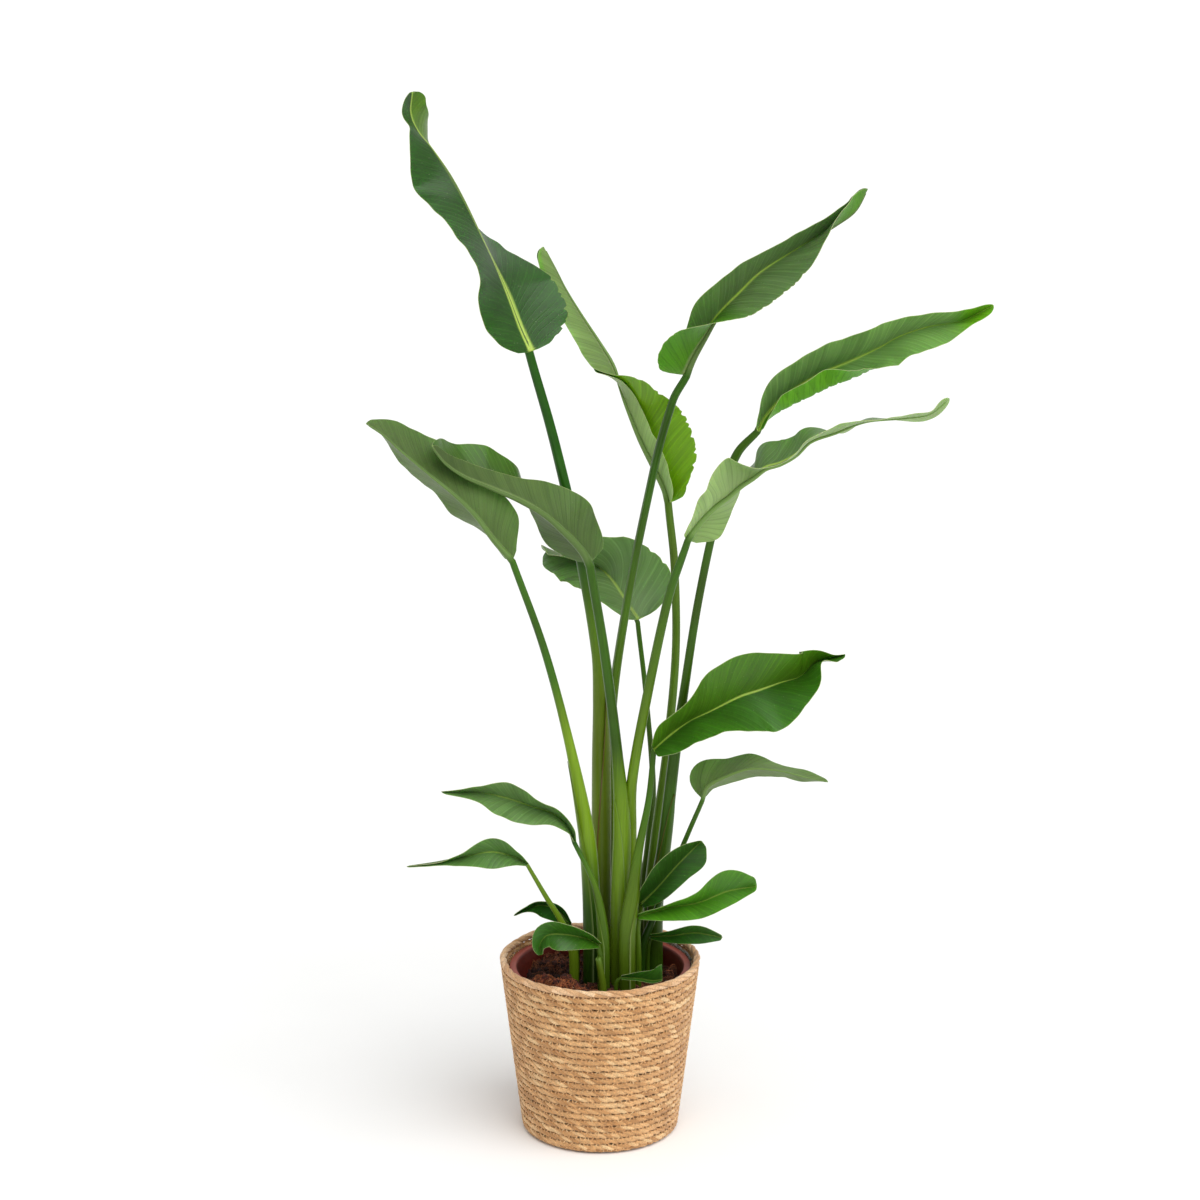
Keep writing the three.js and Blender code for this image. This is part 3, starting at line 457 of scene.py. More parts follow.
leaves = {
    "tall_left": {
        "stalk": [[1, 30, 238, 10], [1, 32, 391, 9.5], [0, 31, 457, 7.5], [-3, 30, 510, 6.3],
                  [-22, 28, 622, 5.8], [-50, 26, 746, 5], [-69, 25, 821, 4.5]],
        "rib": [[-69, 25, 822, 50, -30, 10, 12], [-80, 28, 846, 53, -28, 42, 52],
                [-92, 31, 878, 58, -42, 52, 60], [-106, 35, 910, 76, -76, 52, 58],
                [-120, 40, 940, 66, -94, 48, 52], [-135, 45, 971, 46, -108, 44, 46],
                [-149, 48, 996, 27, -110, 40, 34], [-167, 50, 1022, 58, -95, 32, 26],
                [-181, 52, 1038, 84, -48, 22, 24], [-188, 52, 1056, 60, -27, 15, 18],
                [-186, 50, 1077, 60, -25, 8, 13]],
        "sweep": [-0.15, -0.35], "tone": [0.95, 1.0],
        "ragged": [[1, 0.04, 0.22, 4]], "warm": [[300, 0.5], [500, 0.4], [620, 0]],
        "blush": [[200, 0.5], [420, 0.6], [560, 0]],
        "shineThrough": [["upper", 1, 0.8, 1, 0, 0.5]], "pale": [["upper", 1, 0.5, 0.9, 0, 0.45]],
    },
    "middle_back": {
        "stalk": [[53, 45, 232, 7], [58, 52, 286, 6.5], [71, 64, 398, 4.8], [79, 69, 500, 4.3],
                  [77, 70, 596, 4.2], [72, 70, 656, 4]],
        "rib": [[72, 70, 657, 100, 30, 6, 10], [68, 71, 671, 112, 30, 18, 26],
                [59, 74, 690, 125, 6, 22, 44], [43, 79, 721, 130, 10, 22, 52],
                [28, 86, 756, 125, 45, 20, 46], [20, 95, 775, 85, 88, 30, 30],
                [12, 103, 795, 24, 146, 20, 22], [0, 111, 814, 24, 146, 20, 23],
                [-20, 118, 844, 24, 146, 18, 20], [-36, 123, 870, 24, 146, 16, 17],
                [-45, 126, 888, 30, 140, 16, 18], [-58, 128, 913, 30, 120, 10, 11]],
        "sweep": [-0.1, -0.15], "bow": 3, "tone": [1.1, 2.0], "young": [[0, 0.9], [0.3, 0.8], [0.5, 0.3]],
        "wave": 5, "ragged": [[1, 0.05, 0.4, 3]], "warm": [[300, 0.3], [700, 0.25]], "blush": [[0, 0.1]],
        "shineThrough": [["upper", 1, 0, 0.46, 0, 0.95], ["under", 1, 0.85, 1, 0.7, 0.5]],
    },
    "right_top": {
        "stalk": [[12, 45, 288, 7], [11, 45, 387, 6.5], [13, 37, 455, 5.2], [28, 30, 563, 4.6],
                  [48, 24, 670, 4.4], [71, 20, 773, 4.2], [84, 20, 798, 4]],
        "rib": [[84, 20, 799, 15, 150, 8, 26], [92, 20, 817, 20, 148, 19, 40],
                [102, 21, 834, 30, 132, 23, 44], [118, 23, 859, 40, 85, 36, 46],
                [140, 26, 882, 44, 60, 34, 46], [160, 29, 901, 48, 53, 28, 44],
                [199, 35, 925, 50, 76, 24, 38], [237, 42, 947, 48, 120, 22, 26],
                [255, 46, 960, 34, 132, 16, 20], [267, 50, 981, 30, 120, 6, 7]],
        "sweep": [-0.1, -0.3], "bow": 2, "tone": [1.2, 1.3], "young": [[0, 0.7], [0.25, 0.5], [0.4, 0]],
        "wave": 3, "ragged": [[1, 0.02, 0.6, 1.6]], "warm": [[300, 0.5], [480, 0.25], [700, 0.05]],
        "blush": [[0, 0.1]],
        "shineThrough": [["under", 1, 0, 0.3, 0, 1], ["under", 1, 0.8, 1, 0, 1]],
        "pale": [["upper", 0, 0.1, 0.95, 0, 0.65], ["upper", 1, 0.3, 0.95, 0, 0.6]],
    },
    "right_second": {
        "stalk": [[58, 28, 239, 8], [66, 25, 295, 7], [77, 15, 402, 6], [85, 10, 463, 4.8],
                  [100, 0, 571, 4.2], [121, -6, 676, 4.2], [137, -8, 723, 4.4], [157, -10, 746, 3.6]],
        "rib": [[157, -10, 747, 60, 60, 5, 5], [165, -10, 763, 50, 57, 14, 16],
                [184, -12, 784, 42, 45, 32, 36], [218, -14, 806, 40, 38, 36, 44],
                [252, -16, 821, 38, 44, 34, 44], [277, -17, 833, 40, 66, 31, 42],
                [296, -18, 844, 42, 68, 26, 40], [325, -19, 854, 44, 60, 21, 32],
                [355, -20, 859, 48, 78, 18, 20], [387, -20, 875, 50, 50, 5, 5]],
        "curl": [[[0, 0]], [[0, 0], [0.08, 60], [0.17, 110], [0.34, 120], [0.46, 70], [0.56, 0]]],
        "sweep": [0, 0], "bow": 4, "tone": [1.75, 1.9], "young": [[0, 0.35], [1, 0.5]],
        "ragged": [[1, 0.1, 0.5, 3]], "warm": [[300, 0.1], [700, 0.1]], "blush": [[0, 0.1]],
        "shineThrough": [["under", 1, 0.02, 0.6, 0.2, 1], ["upper", 1, 0.82, 1, 0, 0.2],
                 ["upper", 0, 0.82, 1, 0, 0.2]],
        "pale": [["upper", 0, 0, 0.85, 0, 0.7], ["upper", 1, 0.4, 0.85, 0, 0.5]],
    },
    "right_third": {
        "stalk": [[31, 10, 245, 8], [31, 9, 323, 7], [33, -2, 380, 5.6], [49, -25, 483, 5],
                  [70, -50, 594, 4.5], [85, -60, 648, 3.6]],
        "rib": [[85, -60, 649, 60, -40, 6, 10], [99, -64, 669, 66, -22, 24, 30],
                [114, -68, 685, 56, -50, 34, 36], [126, -72, 695, 50, -72, 38, 38],
                [137, -76, 706, 38, -88, 41, 40], [149, -80, 715, 36, -96, 40, 40],
                [161, -83, 725, 74, -112, 38, 40], [175, -86, 730, 78, -112, 36, 38],
                [190, -88, 739, 79, -104, 34, 36], [204, -90, 753, 74, -93, 32, 34],
                [228, -92, 762, 68, -72, 30, 30], [257, -92, 773, 80, -82, 26, 26],
                [296, -90, 776, 70, -70, 22, 22], [320, -86, 779, 64, -58, 16, 16],
                [339, -82, 793, 50, -50, 6, 6]],
        "sweep": [-0.1, -0.5], "upper": "back", "tone": [1.4, 2.35],
        "young": [[0, 0.5], [0.3, 0.15], [1, 0.4]],
        "wave": 3, "warm": [[300, 0.7], [480, 0.3], [620, 0.1]],
        "pale": [["under", 0, 0, 0.3, 0, 0.4], ["under", 1, 0, 1, 0, 0.25], ["upper", 0, 0, 1, 0, 0.45],
                 ["upper", 1, 0, 1, 0, 0.45]],
    },
    "left_outer": {
        "stalk": [[-8, 4, 226, 9], [-10, 0, 282, 8.8], [-14, -5, 327, 8.2], [-31, -20, 424, 5],
                  [-56, -38, 529, 4], [-87, -56, 625, 3.4]],
        "rib": [[-87, -56, 626, -50, -55, 8, 8], [-104, -60, 647, -75, -42, 24, 38],
                [-123, -66, 674, -52, -44, 36, 41], [-142, -72, 695, -62, -52, 38, 43],
                [-166, -79, 717, -60, -54, 35, 41], [-195, -88, 744, -72, -62, 26, 31],
                [-208, -94, 758, -76, -66, 18, 21], [-226, -100, 772, -75, -62, 4, 4]],
        "sweep": [-0.1, -0.2], "upper": "back", "tone": [0.9, 1.35],
        "warm": [[240, 0.1], [330, 0.7], [430, 0.7], [500, 0.1]],
    },
    "left_front": {
        "stalk": [[21, -3, 250, 9.5], [23, -3, 327, 9], [17, -6, 414, 6], [5, -12, 516, 5],
                  [-10, -16, 611, 4.6]],
        "rib": [[-10, -16, 614, -50, -45, 10, 18], [-20, -18, 629, -45, -52, 32, 39],
                [-35, -24, 647, -52, -38, 42, 44], [-55, -32, 667, -76, -50, 42, 38],
                [-79, -42, 684, -118, -32, 43, 22], [-109, -54, 700, -134, -22, 43, 16],
                [-133, -66, 713, -118, -25, 37, 14], [-151, -80, 729, -112, -30, 26, 9],
                [-163, -94, 748, -110, -35, 5, 4]],
        "sweep": [-0.1, -0.2], "bow": 6, "upper": "back", "tone": [1, 1.08], "wave": 3,
        "warm": [[250, 0.6], [360, 0.5], [420, 0.1]],
        "shineThrough": [["upper", 0, 0.3, 1, 0, 0.2]],
    },
    "centre_back": {
        "stalk": [[44, 58, 226, 5], [51, 68, 279, 4.5], [56, 82, 343, 3.4], [51, 89, 418, 2.8],
                  [40, 95, 524, 2.6]],
        "rib": [[40, 95, 526, 60, -20, 6, 12], [32, 103, 536, 68, -15, 30, 45],
                [23, 112, 548, 62, -10, 40, 57], [11, 126, 563, 50, 10, 44, 50],
                [-2, 142, 572, 52, 78, 44, 40], [-21, 160, 577, 62, 82, 34, 36],
                [-41, 178, 577, 66, 60, 24, 26], [-58, 192, 576, 68, 55, 4, 5]],
        "sweep": [-0.2, -0.3], "tone": [1.3, 1.2], "young": [[0, 0.15], [1, 0.15]],
        "pale": [["upper", 0, 0, 1, 0, 0.65], ["upper", 1, 0, 1, 0, 0.65]],
        "ragged": [[1, 0.1, 0.5, 2]], "warm": [[300, 0.1]], "blush": [[300, 0.3], [500, 0.1]],
    },
    "right_broad": {
        "stalk": [[28, -25, 225, 8.5], [34, -23, 268, 7], [40, -20, 311, 4.6], [50, -15, 363, 3.4],
                  [55, -10, 414, 2.8]],
        "rib": [[55, -10, 416, 60, 70, 8, 12], [72, -9, 431, 42, 66, 26, 30],
                [92, -6, 445, 50, 75, 36, 44], [113, -2, 454, 30, 72, 46, 48],
                [143, 4, 468, 20, 50, 48, 52], [164, 9, 474, 22, 43, 44, 50],
                [185, 14, 480, 28, 66, 37, 44], [206, 20, 485, 32, 84, 31, 35],
                [220, 26, 497, 46, 92, 20, 26], [235, 32, 501, 66, 88, 12, 16],
                [253, 40, 503, 70, 80, 3, 3]],
        "sweep": [-0.2, -0.3], "tone": [1.1, 1.2], "young": [[0, 0.3], [1, 0.3]],
        "warm": [[250, 0.4], [360, 0.1]], "blush": [[0, 0.1]],
        "shineThrough": [["upper", 0, 0, 1, 0, 0.2]],
    },
    "right_low": {
        "stalk": [[44, 3, 193, 4.4], [57, 2, 232, 3.2], [71, -5, 273, 2.8], [105, -20, 365, 2.4]],
        "rib": [[105, -20, 366, -55, -55, 6, 4], [110, -23, 380, -46, -55, 28, 18],
                [128, -28, 392, -70, -53, 29, 24], [153, -33, 402, -77, -50, 27, 24],
                [183, -37, 401, -92, -58, 22, 20], [208, -38, 395, -76, -52, 14, 12],
                [232, -36, 389, -70, -70, 3, 3]],
        "sweep": [-0.3, -0.3], "upper": "back", "tone": [1, 1.6], "young": [[0, 0.2], [1, 0.2]], "wave": 3,
        "warm": [[200, 0], [360, 0.1]], "blush": [[0, 0.1]],
    },
    "left_low": {
        "stalk": [[4, -23, 212, 6], [0, -22, 250, 4.2], [-7, -20, 277, 3], [-26, -14, 316, 2.4]],
        "rib": [[-26, -14, 318, 90, 65, 5, 5], [-33, -16, 334, 85, 62, 12, 14],
                [-46, -20, 349, 75, 60, 20, 18], [-72, -26, 361, 60, 52, 26, 24],
                [-97, -34, 372, 58, 34, 26, 24], [-122, -40, 379, 76, 50, 18, 18],
                [-161, -46, 382, 80, 70, 3, 3]],
        "tone": [1.5, 1.3], "wave": 5,
        "pale": [["upper", 0, 0, 1, 0, 0.5], ["upper", 1, 0, 1, 0, 0.5]],
        "warm": [[200, 0.3], [280, 0.3], [320, 0]],
    },
    "left_lowest": {
        "stalk": [[-28, -10, 199, 5], [-41, -18, 234, 3.2], [-55, -24, 260, 2.6], [-74, -30, 297, 2]],
        "rib": [[-74, -30, 299, 80, 62, 4, 4], [-90, -35, 309, 78, 48, 15, 14],
                [-111, -41, 316, 52, 26, 21, 20], [-137, -47, 313, 75, 58, 17, 16],
                [-165, -50, 308, 85, 75, 9, 9], [-197, -52, 304, 88, 70, 3, 3]],
        "tone": [1.5, 1.3],
        "pale": [["upper", 0, 0, 1, 0, 0.35], ["upper", 1, 0, 1, 0, 0.35]],
        "warm": [[200, 0.8], [280, 0.5]],
    },
    "base_right_upper": {
        "stalk": [[36, -8, 193, 3], [43, -12, 248, 2.3]],
        "rib": [[42, -12, 249, 30, 50, 5, 5], [59, -18, 269, 40, 55, 22, 18],
                [77, -24, 293, 36, 40, 25, 20], [92, -28, 311, 36, 30, 16, 20],
                [104, -30, 324, 50, 50, 3, 8]],
        "tone": [0.8, 1.2], "young": [[0, 0.1], [1, 0.3]],
        "warm": [[0, 0.3]],
    },
    "base_right_middle": {
        "stalk": [[40, -20, 193, 3], [39, -20, 238, 2.3]],
        "rib": [[39, -20, 239, 50, 70, 4, 5], [72, -31, 252, 58, 68, 16, 19],
                [103, -41, 262, 40, 54, 19, 20], [131, -48, 276, 10, 50, 24, 16],
                [160, -53, 283, 30, 60, 12, 5]],
        "tone": [1.55, 1.2], "young": [[0, 0.5], [1, 0.4]],
        "warm": [[0, 0.4]],
    },
    "base_right_lower": {
        "stalk": [[50, 12, 187, 2.5], [52, 12, 204, 2]],
        "rib": [[52, 12, 205, 50, 70, 4, 4], [75, 0, 210, 40, 60, 10, 10],
                [100, -8, 216, 35, 35, 13, 12], [127, -14, 213, 30, 40, 3, 3]],
        "tone": [1.1, 1.2],
        "warm": [[0, 0.2]],
    },
    "base_left_back": {
        "stalk": [[-25, 25, 193, 2.8], [-32, 25, 212, 2.2]],
        "rib": [[-32, 25, 213, 60, 50, 5, 5], [-46, 22, 231, 48, 50, 15, 13],
                [-63, 18, 237, 60, 52, 15, 13], [-78, 12, 234, 92, 55, 8, 8],
                [-90, 8, 229, 90, 55, 2, 2]],
        "tone": [1.5, 1.2], "young": [[0, 0], [1, 0]],
        "warm": [[0, 0.2]],
    },
    "base_left_front": {
        "stalk": [[1, -34, 189, 3.2], [-1, -35, 212, 2.3]],
        "rib": [[-1, -35, 213, 80, 50, 5, 5], [-16, -42, 223, 70, 48, 16, 14],
                [-38, -50, 230, 50, 30, 19, 17], [-54, -56, 231, 60, 20, 17, 16],
                [-61, -60, 223, 65, 35, 10, 10], [-60, -62, 212, 65, 40, 3, 3]],
        "tone": [1.3, 1.2], "young": [[0, 0.3], [1, 0.1]], "wave": 3,
        "warm": [[0, 0.3]],
    },
    "base_front": {
        "stalk": [[17, -43, 175, 2.3], [22, -45, 180, 2]],
        "rib": [[22, -45, 181, 45, 80, 4, 4], [40, -51, 182, 20, 80, 9, 5],
                [54, -56, 181.5, 5, 80, 14, 5], [64, -59, 184, 0, 80, 17, 3]],
        "tone": [1.4, 1.2], "wave": 3,
        "warm": [[0, 0.3]],
    },
}

blade = {
    "rowStep": 2, "leastRows": 30, "columns": 20, "columnCrowd": 1.35, "marginStart": 0.985,
    "thickness": 0.75, "marginThickness": 0.4, "groove": 0.35, "tipRound": 0.04, "neckRound": 0.02,
    "leastRound": 0.02, "leastReach": 0.2, "nibbles": (5, 8, 13), "nibbleSoft": 0.02,
    "leanAt": (0, 0.25, 0.6, 1), "leans": (0, 0.25, 0.35), "curlFrom": 0.3, "curlTo": 0.65,
    "waveLength": 52, "waveSizes": (1, 0.5, 0.25), "waveShares": (1, 0.55, 0.3), "patchSoft": 0.05,
    "veinArch": 11, "veinLean": 0.4,
}
frontWay = np.array([0.0, -1.0, 0.0])


# How far a half blade reaches from the rib: its width, rounded off at neck and tip, less what is nibbled
def reachOf(leaf, run, side, share, ribLength, random):
    tip = np.clip((share - 1 + blade["tipRound"]) / blade["tipRound"], 0, 1)
    neck = np.clip(share / blade["neckRound"] + blade["leastRound"], 0, 1)
    reach = run[:, 5 + side] * np.sqrt(neck) * np.sqrt(np.maximum(1 - tip ** 2, blade["leastRound"]))
    for raggedSide, start, end, depth in leaf["ragged"]:
        nibble = sum(np.sin(2 * math.pi * share * ribLength / length + anyPhase(random))
                     for length in blade["nibbles"])
        if raggedSide == side:
            within = between(start, end, blade["nibbleSoft"], share)
            reach = reach - depth * within * np.clip(nibble / 2, 0, 1)
    return np.maximum(reach, blade["leastReach"])


# The way a half blade runs off the rib when it is lifted by so many degrees
def halfWay(lift, along, side):
    left = normalised(np.cross(frontWay, along))
    toFront = np.cross(along, left)
    lift = np.radians(lift)[:, None]
    return (1 if side == 0 else -1) * np.cos(lift) * left + np.sin(lift) * toFront


# One half blade, column by column from the rib out: its points and how far they are from the rib
def halfGrid(leaf, run, side, fractions, ribLength, random):
    share = np.linspace(0, 1, len(run))
    point = run[:, :3]
    along = tangentsOf(point)
    reach = reachOf(leaf, run, side, share, ribLength, random)
    lean = np.interp(share, blade["leanAt"], (leaf["sweep"][side], *blade["leans"]))
    curlRows = np.array(leaf["curl"][side], float)
    curl = np.interp(share, curlRows[:, 0], curlRows[:, 1])
    phases = random.uniform(0, 2 * math.pi, 3)
    lengths = blade["waveLength"] * random.uniform(0.8, 1.3, 3) * blade["waveShares"]
    ripple = sum(size * np.sin(2 * math.pi * share * ribLength / length + phase)
                 for size, length, phase in zip(blade["waveSizes"], lengths, phases))
    bow = leaf["bow"] * np.sign(run[:, 3 + side])
    distance = np.zeros(len(run))
    points, distances = [], []
    for near, far in zip(fractions[:-1], fractions[1:]):
        middle = (near + far) / 2
        step = reach * (far - near)
        turn = smoothStep(blade["curlFrom"], blade["curlTo"], middle)
        lift = run[:, 3 + side] + curl * turn + bow * (0.5 - middle)
        way = halfWay(lift + leaf["wave"] * ripple * middle ** 2, along, side)
        point = point + (way + along * lean[:, None]) * step[:, None]
        distance = distance + step
        points.append(point)
        distances.append(distance)
    return points, distances


# Points over both half blades, their distance from the rib, and each column's share of the half width
def bladeGrid(leaf, seed):
    ribLength = np.sum(stepLengths(np.array(leaf["rib"])[:, :3]))
    rows = int(max(blade["leastRows"], ribLength / blade["rowStep"]))
    run = smoothRun(leaf["rib"], rows)
    columns = blade["columns"]
    crowded = (np.arange(columns) / (columns - 1)) ** blade["columnCrowd"]
    fractions = np.concatenate([crowded[:-1], [blade["marginStart"], 1]])
    random = np.random.default_rng(seed)
    left, leftDistances = halfGrid(leaf, run, 0, fractions, ribLength, random)
    right, rightDistances = halfGrid(leaf, run, 1, fractions, ribLength, random)
    grid = np.stack(left[::-1] + [run[:, :3]] + right, axis=1)
    minus = [-d for d in leftDistances[::-1]]
    ribDistance = np.stack(minus + [np.zeros(rows)] + rightDistances, axis=1)
    fromRib = np.concatenate([fractions[:0:-1], fractions])
    return grid, ribDistance, fromRib, np.linspace(0, 1, rows), ribLength


# How much a face of a blade is lush or pale, row by row and column by column
def patchShare(leaf, patches, face, share, ribDistance, fromRib):
    amounts = np.zeros(ribDistance.shape)
    for onFace, side, start, end, fromShare, amount in leaf[patches]:
        if onFace == face:
            onSide = ribDistance >= 0 if side == 1 else ribDistance < 0
            rowShare = between(start, end, blade["patchSoft"], share)
            acrossShare = smoothStep(fromShare - 0.1, fromShare + 0.1, fromRib)
            amounts = np.maximum(amounts, amount * onSide * rowShare[:, None] * acrossShare[None])
    return amounts


# A thin closed leaf blade with a groove over the rib, one material on each face.
def addBlade(name, leaf, seed):
    grid, ribDistance, fromRib, share, ribLength = bladeGrid(leaf, seed)
    rows, columns = grid.shape[:2]
    down = np.gradient(grid, axis=0)
    across = np.gradient(grid, axis=1)
    outward = normalised(np.cross(down, across))
    neckRadius = leaf["stalk"][-1][3]
    grooveWidth = mix(neckRadius * 0.6, 0.6, share ** 0.7)[:, None]
    inGroove = np.exp(-(ribDistance / grooveWidth) ** 2)
    thickness = mix(blade["thickness"], blade["marginThickness"], fromRib[None, :] ** 2)
    isFront = leaf["upper"] == "front"
    grooveDepth = blade["groove"] * inGroove * (1 - share[:, None])
    plus = grid + outward * (thickness / 2 - (0 if isFront else 1) * grooveDepth)[..., None]
    minus = grid - outward * (thickness / 2 - (1 if isFront else 0) * grooveDepth)[..., None]
    points = np.concatenate([plus.reshape(-1, 3), minus.reshape(-1, 3)])
    count = rows * columns
    sheet = gridQuads(rows, columns)
    loop, following = borderOf(rows, columns)
    rim = np.stack([loop, following, following + count, loop + count], axis=-1)
    faceSets = [sheet[:, ::-1], sheet + count, rim]
    plusMaterial, minusMaterial = (1, 0) if isFront else (0, 1)
    faceMaterial = np.repeat([plusMaterial, minusMaterial, 1], [len(faces) for faces in faceSets])
    # a young leaf's rib is thin and hardly paler than the blade
    grown = mix(0.38, 1, smoothStep(90, 250, ribLength))
    ribLine = smoothStep(2.0, 0.9, np.abs(ribDistance) / grooveWidth) * grown
    ribLine = ribLine * mix(0.95, 0.55, share)[:, None]
    edge = np.broadcast_to((fromRib > blade["marginStart"] + 0.001) * 1.0, grid.shape[:2])
    # veins leave the rib steeply forward, then run out towards the margin
    arch = blade["veinArch"] * (1 - np.exp(-np.abs(ribDistance) / blade["veinArch"]))
    vein = (share * ribLength)[:, None] - arch - blade["veinLean"] * np.abs(ribDistance)
    young = np.array(leaf["young"], float)
    warm = np.interp(share, young[:, 0], young[:, 1])[:, None] * mix(0.7, 1.2, fromRib)[None]

    faces = ("under", "upper") if isFront else ("upper", "under")

    def onFaces(patches):
        return np.concatenate([patchShare(leaf, patches, face, share, ribDistance, fromRib).ravel()
                               for face in faces])

    def twice(numbers):
        return np.tile(np.asarray(numbers).ravel(), 2)

    values = {
        "veinPlace": twice(vein + 400 * seed), "ribDistance": twice(ribDistance), "ribLine": twice(ribLine),
        "edge": twice(edge), "warm": twice(warm), "shineThrough": onFaces("shineThrough"), "pale": onFaces("pale"),
        # each face's brightness, set leaf by leaf: partly the leaf's own shade and partly painted light and
        # shade
        "tone": np.repeat([leaf["tone"][("upper", "under").index(face)] for face in faces], count),
    }
    return addPiece(f"leaf_{name}", points, faceSets, [leafUpper, leafUnder], f"{name}_blade",
                    faceMaterial, values)


stalkShape = {
    "rowStep": 4, "sides": 20, "soilFoot": 134, "groove": 0.2, "grooveWidth": 0.55, "ribRows": 60,
    "ribSkip": 2, "ribTip": 0.6, "ribTaper": 0.7, "ribSink": 0.75, "blendFrom": 0.85,
}


# Side vectors that turn as little as possible along a run of points, set by the one at an end.
def carriedSides(along, lastSide):
    sides = np.zeros_like(along)
    sides[-1] = normalised(lastSide - along[-1] * np.dot(lastSide, along[-1]))
    for i in range(len(along) - 2, -1, -1):
        sides[i] = normalised(sides[i + 1] - along[i] * np.dot(sides[i + 1], along[i]))
    return sides


# A closed tube of any section: offsets is rings x sides x 2, along each ring's side and back vectors.
def tubeMesh(centres, side, back, offsets):
    rings, count = offsets.shape[:2]
    skin = centres[:, None] + side[:, None] * offsets[..., :1] + back[:, None] * offsets[..., 1:]
    points = np.concatenate([skin.reshape(-1, 3), centres[:1], centres[-1:]])
    first = fan(rings * count, 0, count, reverse=True)
    last = fan(rings * count + 1, (rings - 1) * count, count)
    return points, [gridQuads(rings, count, wrap=True), first, last]


# The unit vector off the upper face at each row of the rib
def upperWay(leaf, run, along):
    across = halfWay(run[:, 3], along, 0) - halfWay(run[:, 4], along, 1)
    return normalised(np.cross(along, across) * (1 if leaf["upper"] == "front" else -1))


def heightTable(table, height):
    rows = np.array(table, float)
    return np.interp(height, rows[:, 0], rows[:, 1])


# The foot of a leaf stalk is a sheath that wraps the stalk inside it and opens in a tongue with thin
# margins. tip: its height. turn: where the tongue stands, in degrees from the front towards the right.
# half: how far round it reaches. taper: how long the tongue is. margin: 0 pale to 1 red-brown.
sheaths = {
    "tall_left": [{"tip": 468, "turn": 70, "half": 118, "taper": 230, "margin": 1.0}],
    "left_outer": [{"tip": 405, "turn": -95, "half": 105, "taper": 190, "margin": 0.2}],
    "left_front": [{"tip": 362, "turn": -50, "half": 105, "taper": 150, "margin": 0.0}],
    "right_third": [{"tip": 290, "turn": 85, "half": 110, "taper": 70, "margin": 0.1}],
    "right_broad": [{"tip": 300, "turn": 120, "half": 100, "taper": 80, "margin": 0.3}],
    "left_low": [{"tip": 268, "turn": -100, "half": 105, "taper": 60, "margin": 0.2}],
    "right_second": [{"tip": 360, "turn": 40, "half": 110, "taper": 120, "margin": 0.8}],
}
sheathShape = {"rows": 44, "sides": 14, "lift": 0.45, "thickness": 0.4, "foot": 150, "marginWidth": 0.7}


def sheathMesh(stalkRows, sheath):
    rows, sides = sheathShape["rows"], sheathShape["sides"]
    run = smoothRun(stalkRows, 200)
    heights = mix(sheathShape["foot"], sheath["tip"], np.linspace(0, 1, rows) ** 0.8)
    centre = np.stack([np.interp(heights, run[:, 2], run[:, k]) for k in range(3)], axis=-1)
    radius = np.interp(heights, run[:, 2], run[:, 3]) + sheathShape["lift"]
    taper = np.clip((sheath["tip"] - heights) / sheath["taper"], 0, 1)
    half = np.radians(sheath["half"]) * np.maximum(taper ** 0.62, 0.02)
    spread = np.linspace(-1, 1, sides)
    angle = math.radians(sheath["turn"]) + half[:, None] * spread[None]
    shells = []
    for grow in (sheathShape["thickness"], 0):
        lip = grow * (1 - np.abs(spread[None]) ** 6)
        reach = radius[:, None] + lip
        shells.append(np.stack([
            centre[:, None, 0] + reach * np.sin(angle), centre[:, None, 1] - reach * np.cos(angle),
            np.broadcast_to(centre[:, None, 2], angle.shape),
        ], axis=-1))
    count = rows * sides
    sheet = gridQuads(rows, sides)
    loop, following = borderOf(rows, sides)
    rim = np.stack([following, loop, loop + count, following + count], axis=-1)
    fromMargin = radius[:, None] * half[:, None] * (1 - np.abs(spread[None]))
    edge = smoothStep(sheathShape["marginWidth"], 0.2, fromMargin)
    around = radius[:, None] * angle
    points = np.concatenate([shell.reshape(-1, 3) for shell in shells])
    return points, [sheet, sheet[:, ::-1] + count, rim], edge, around


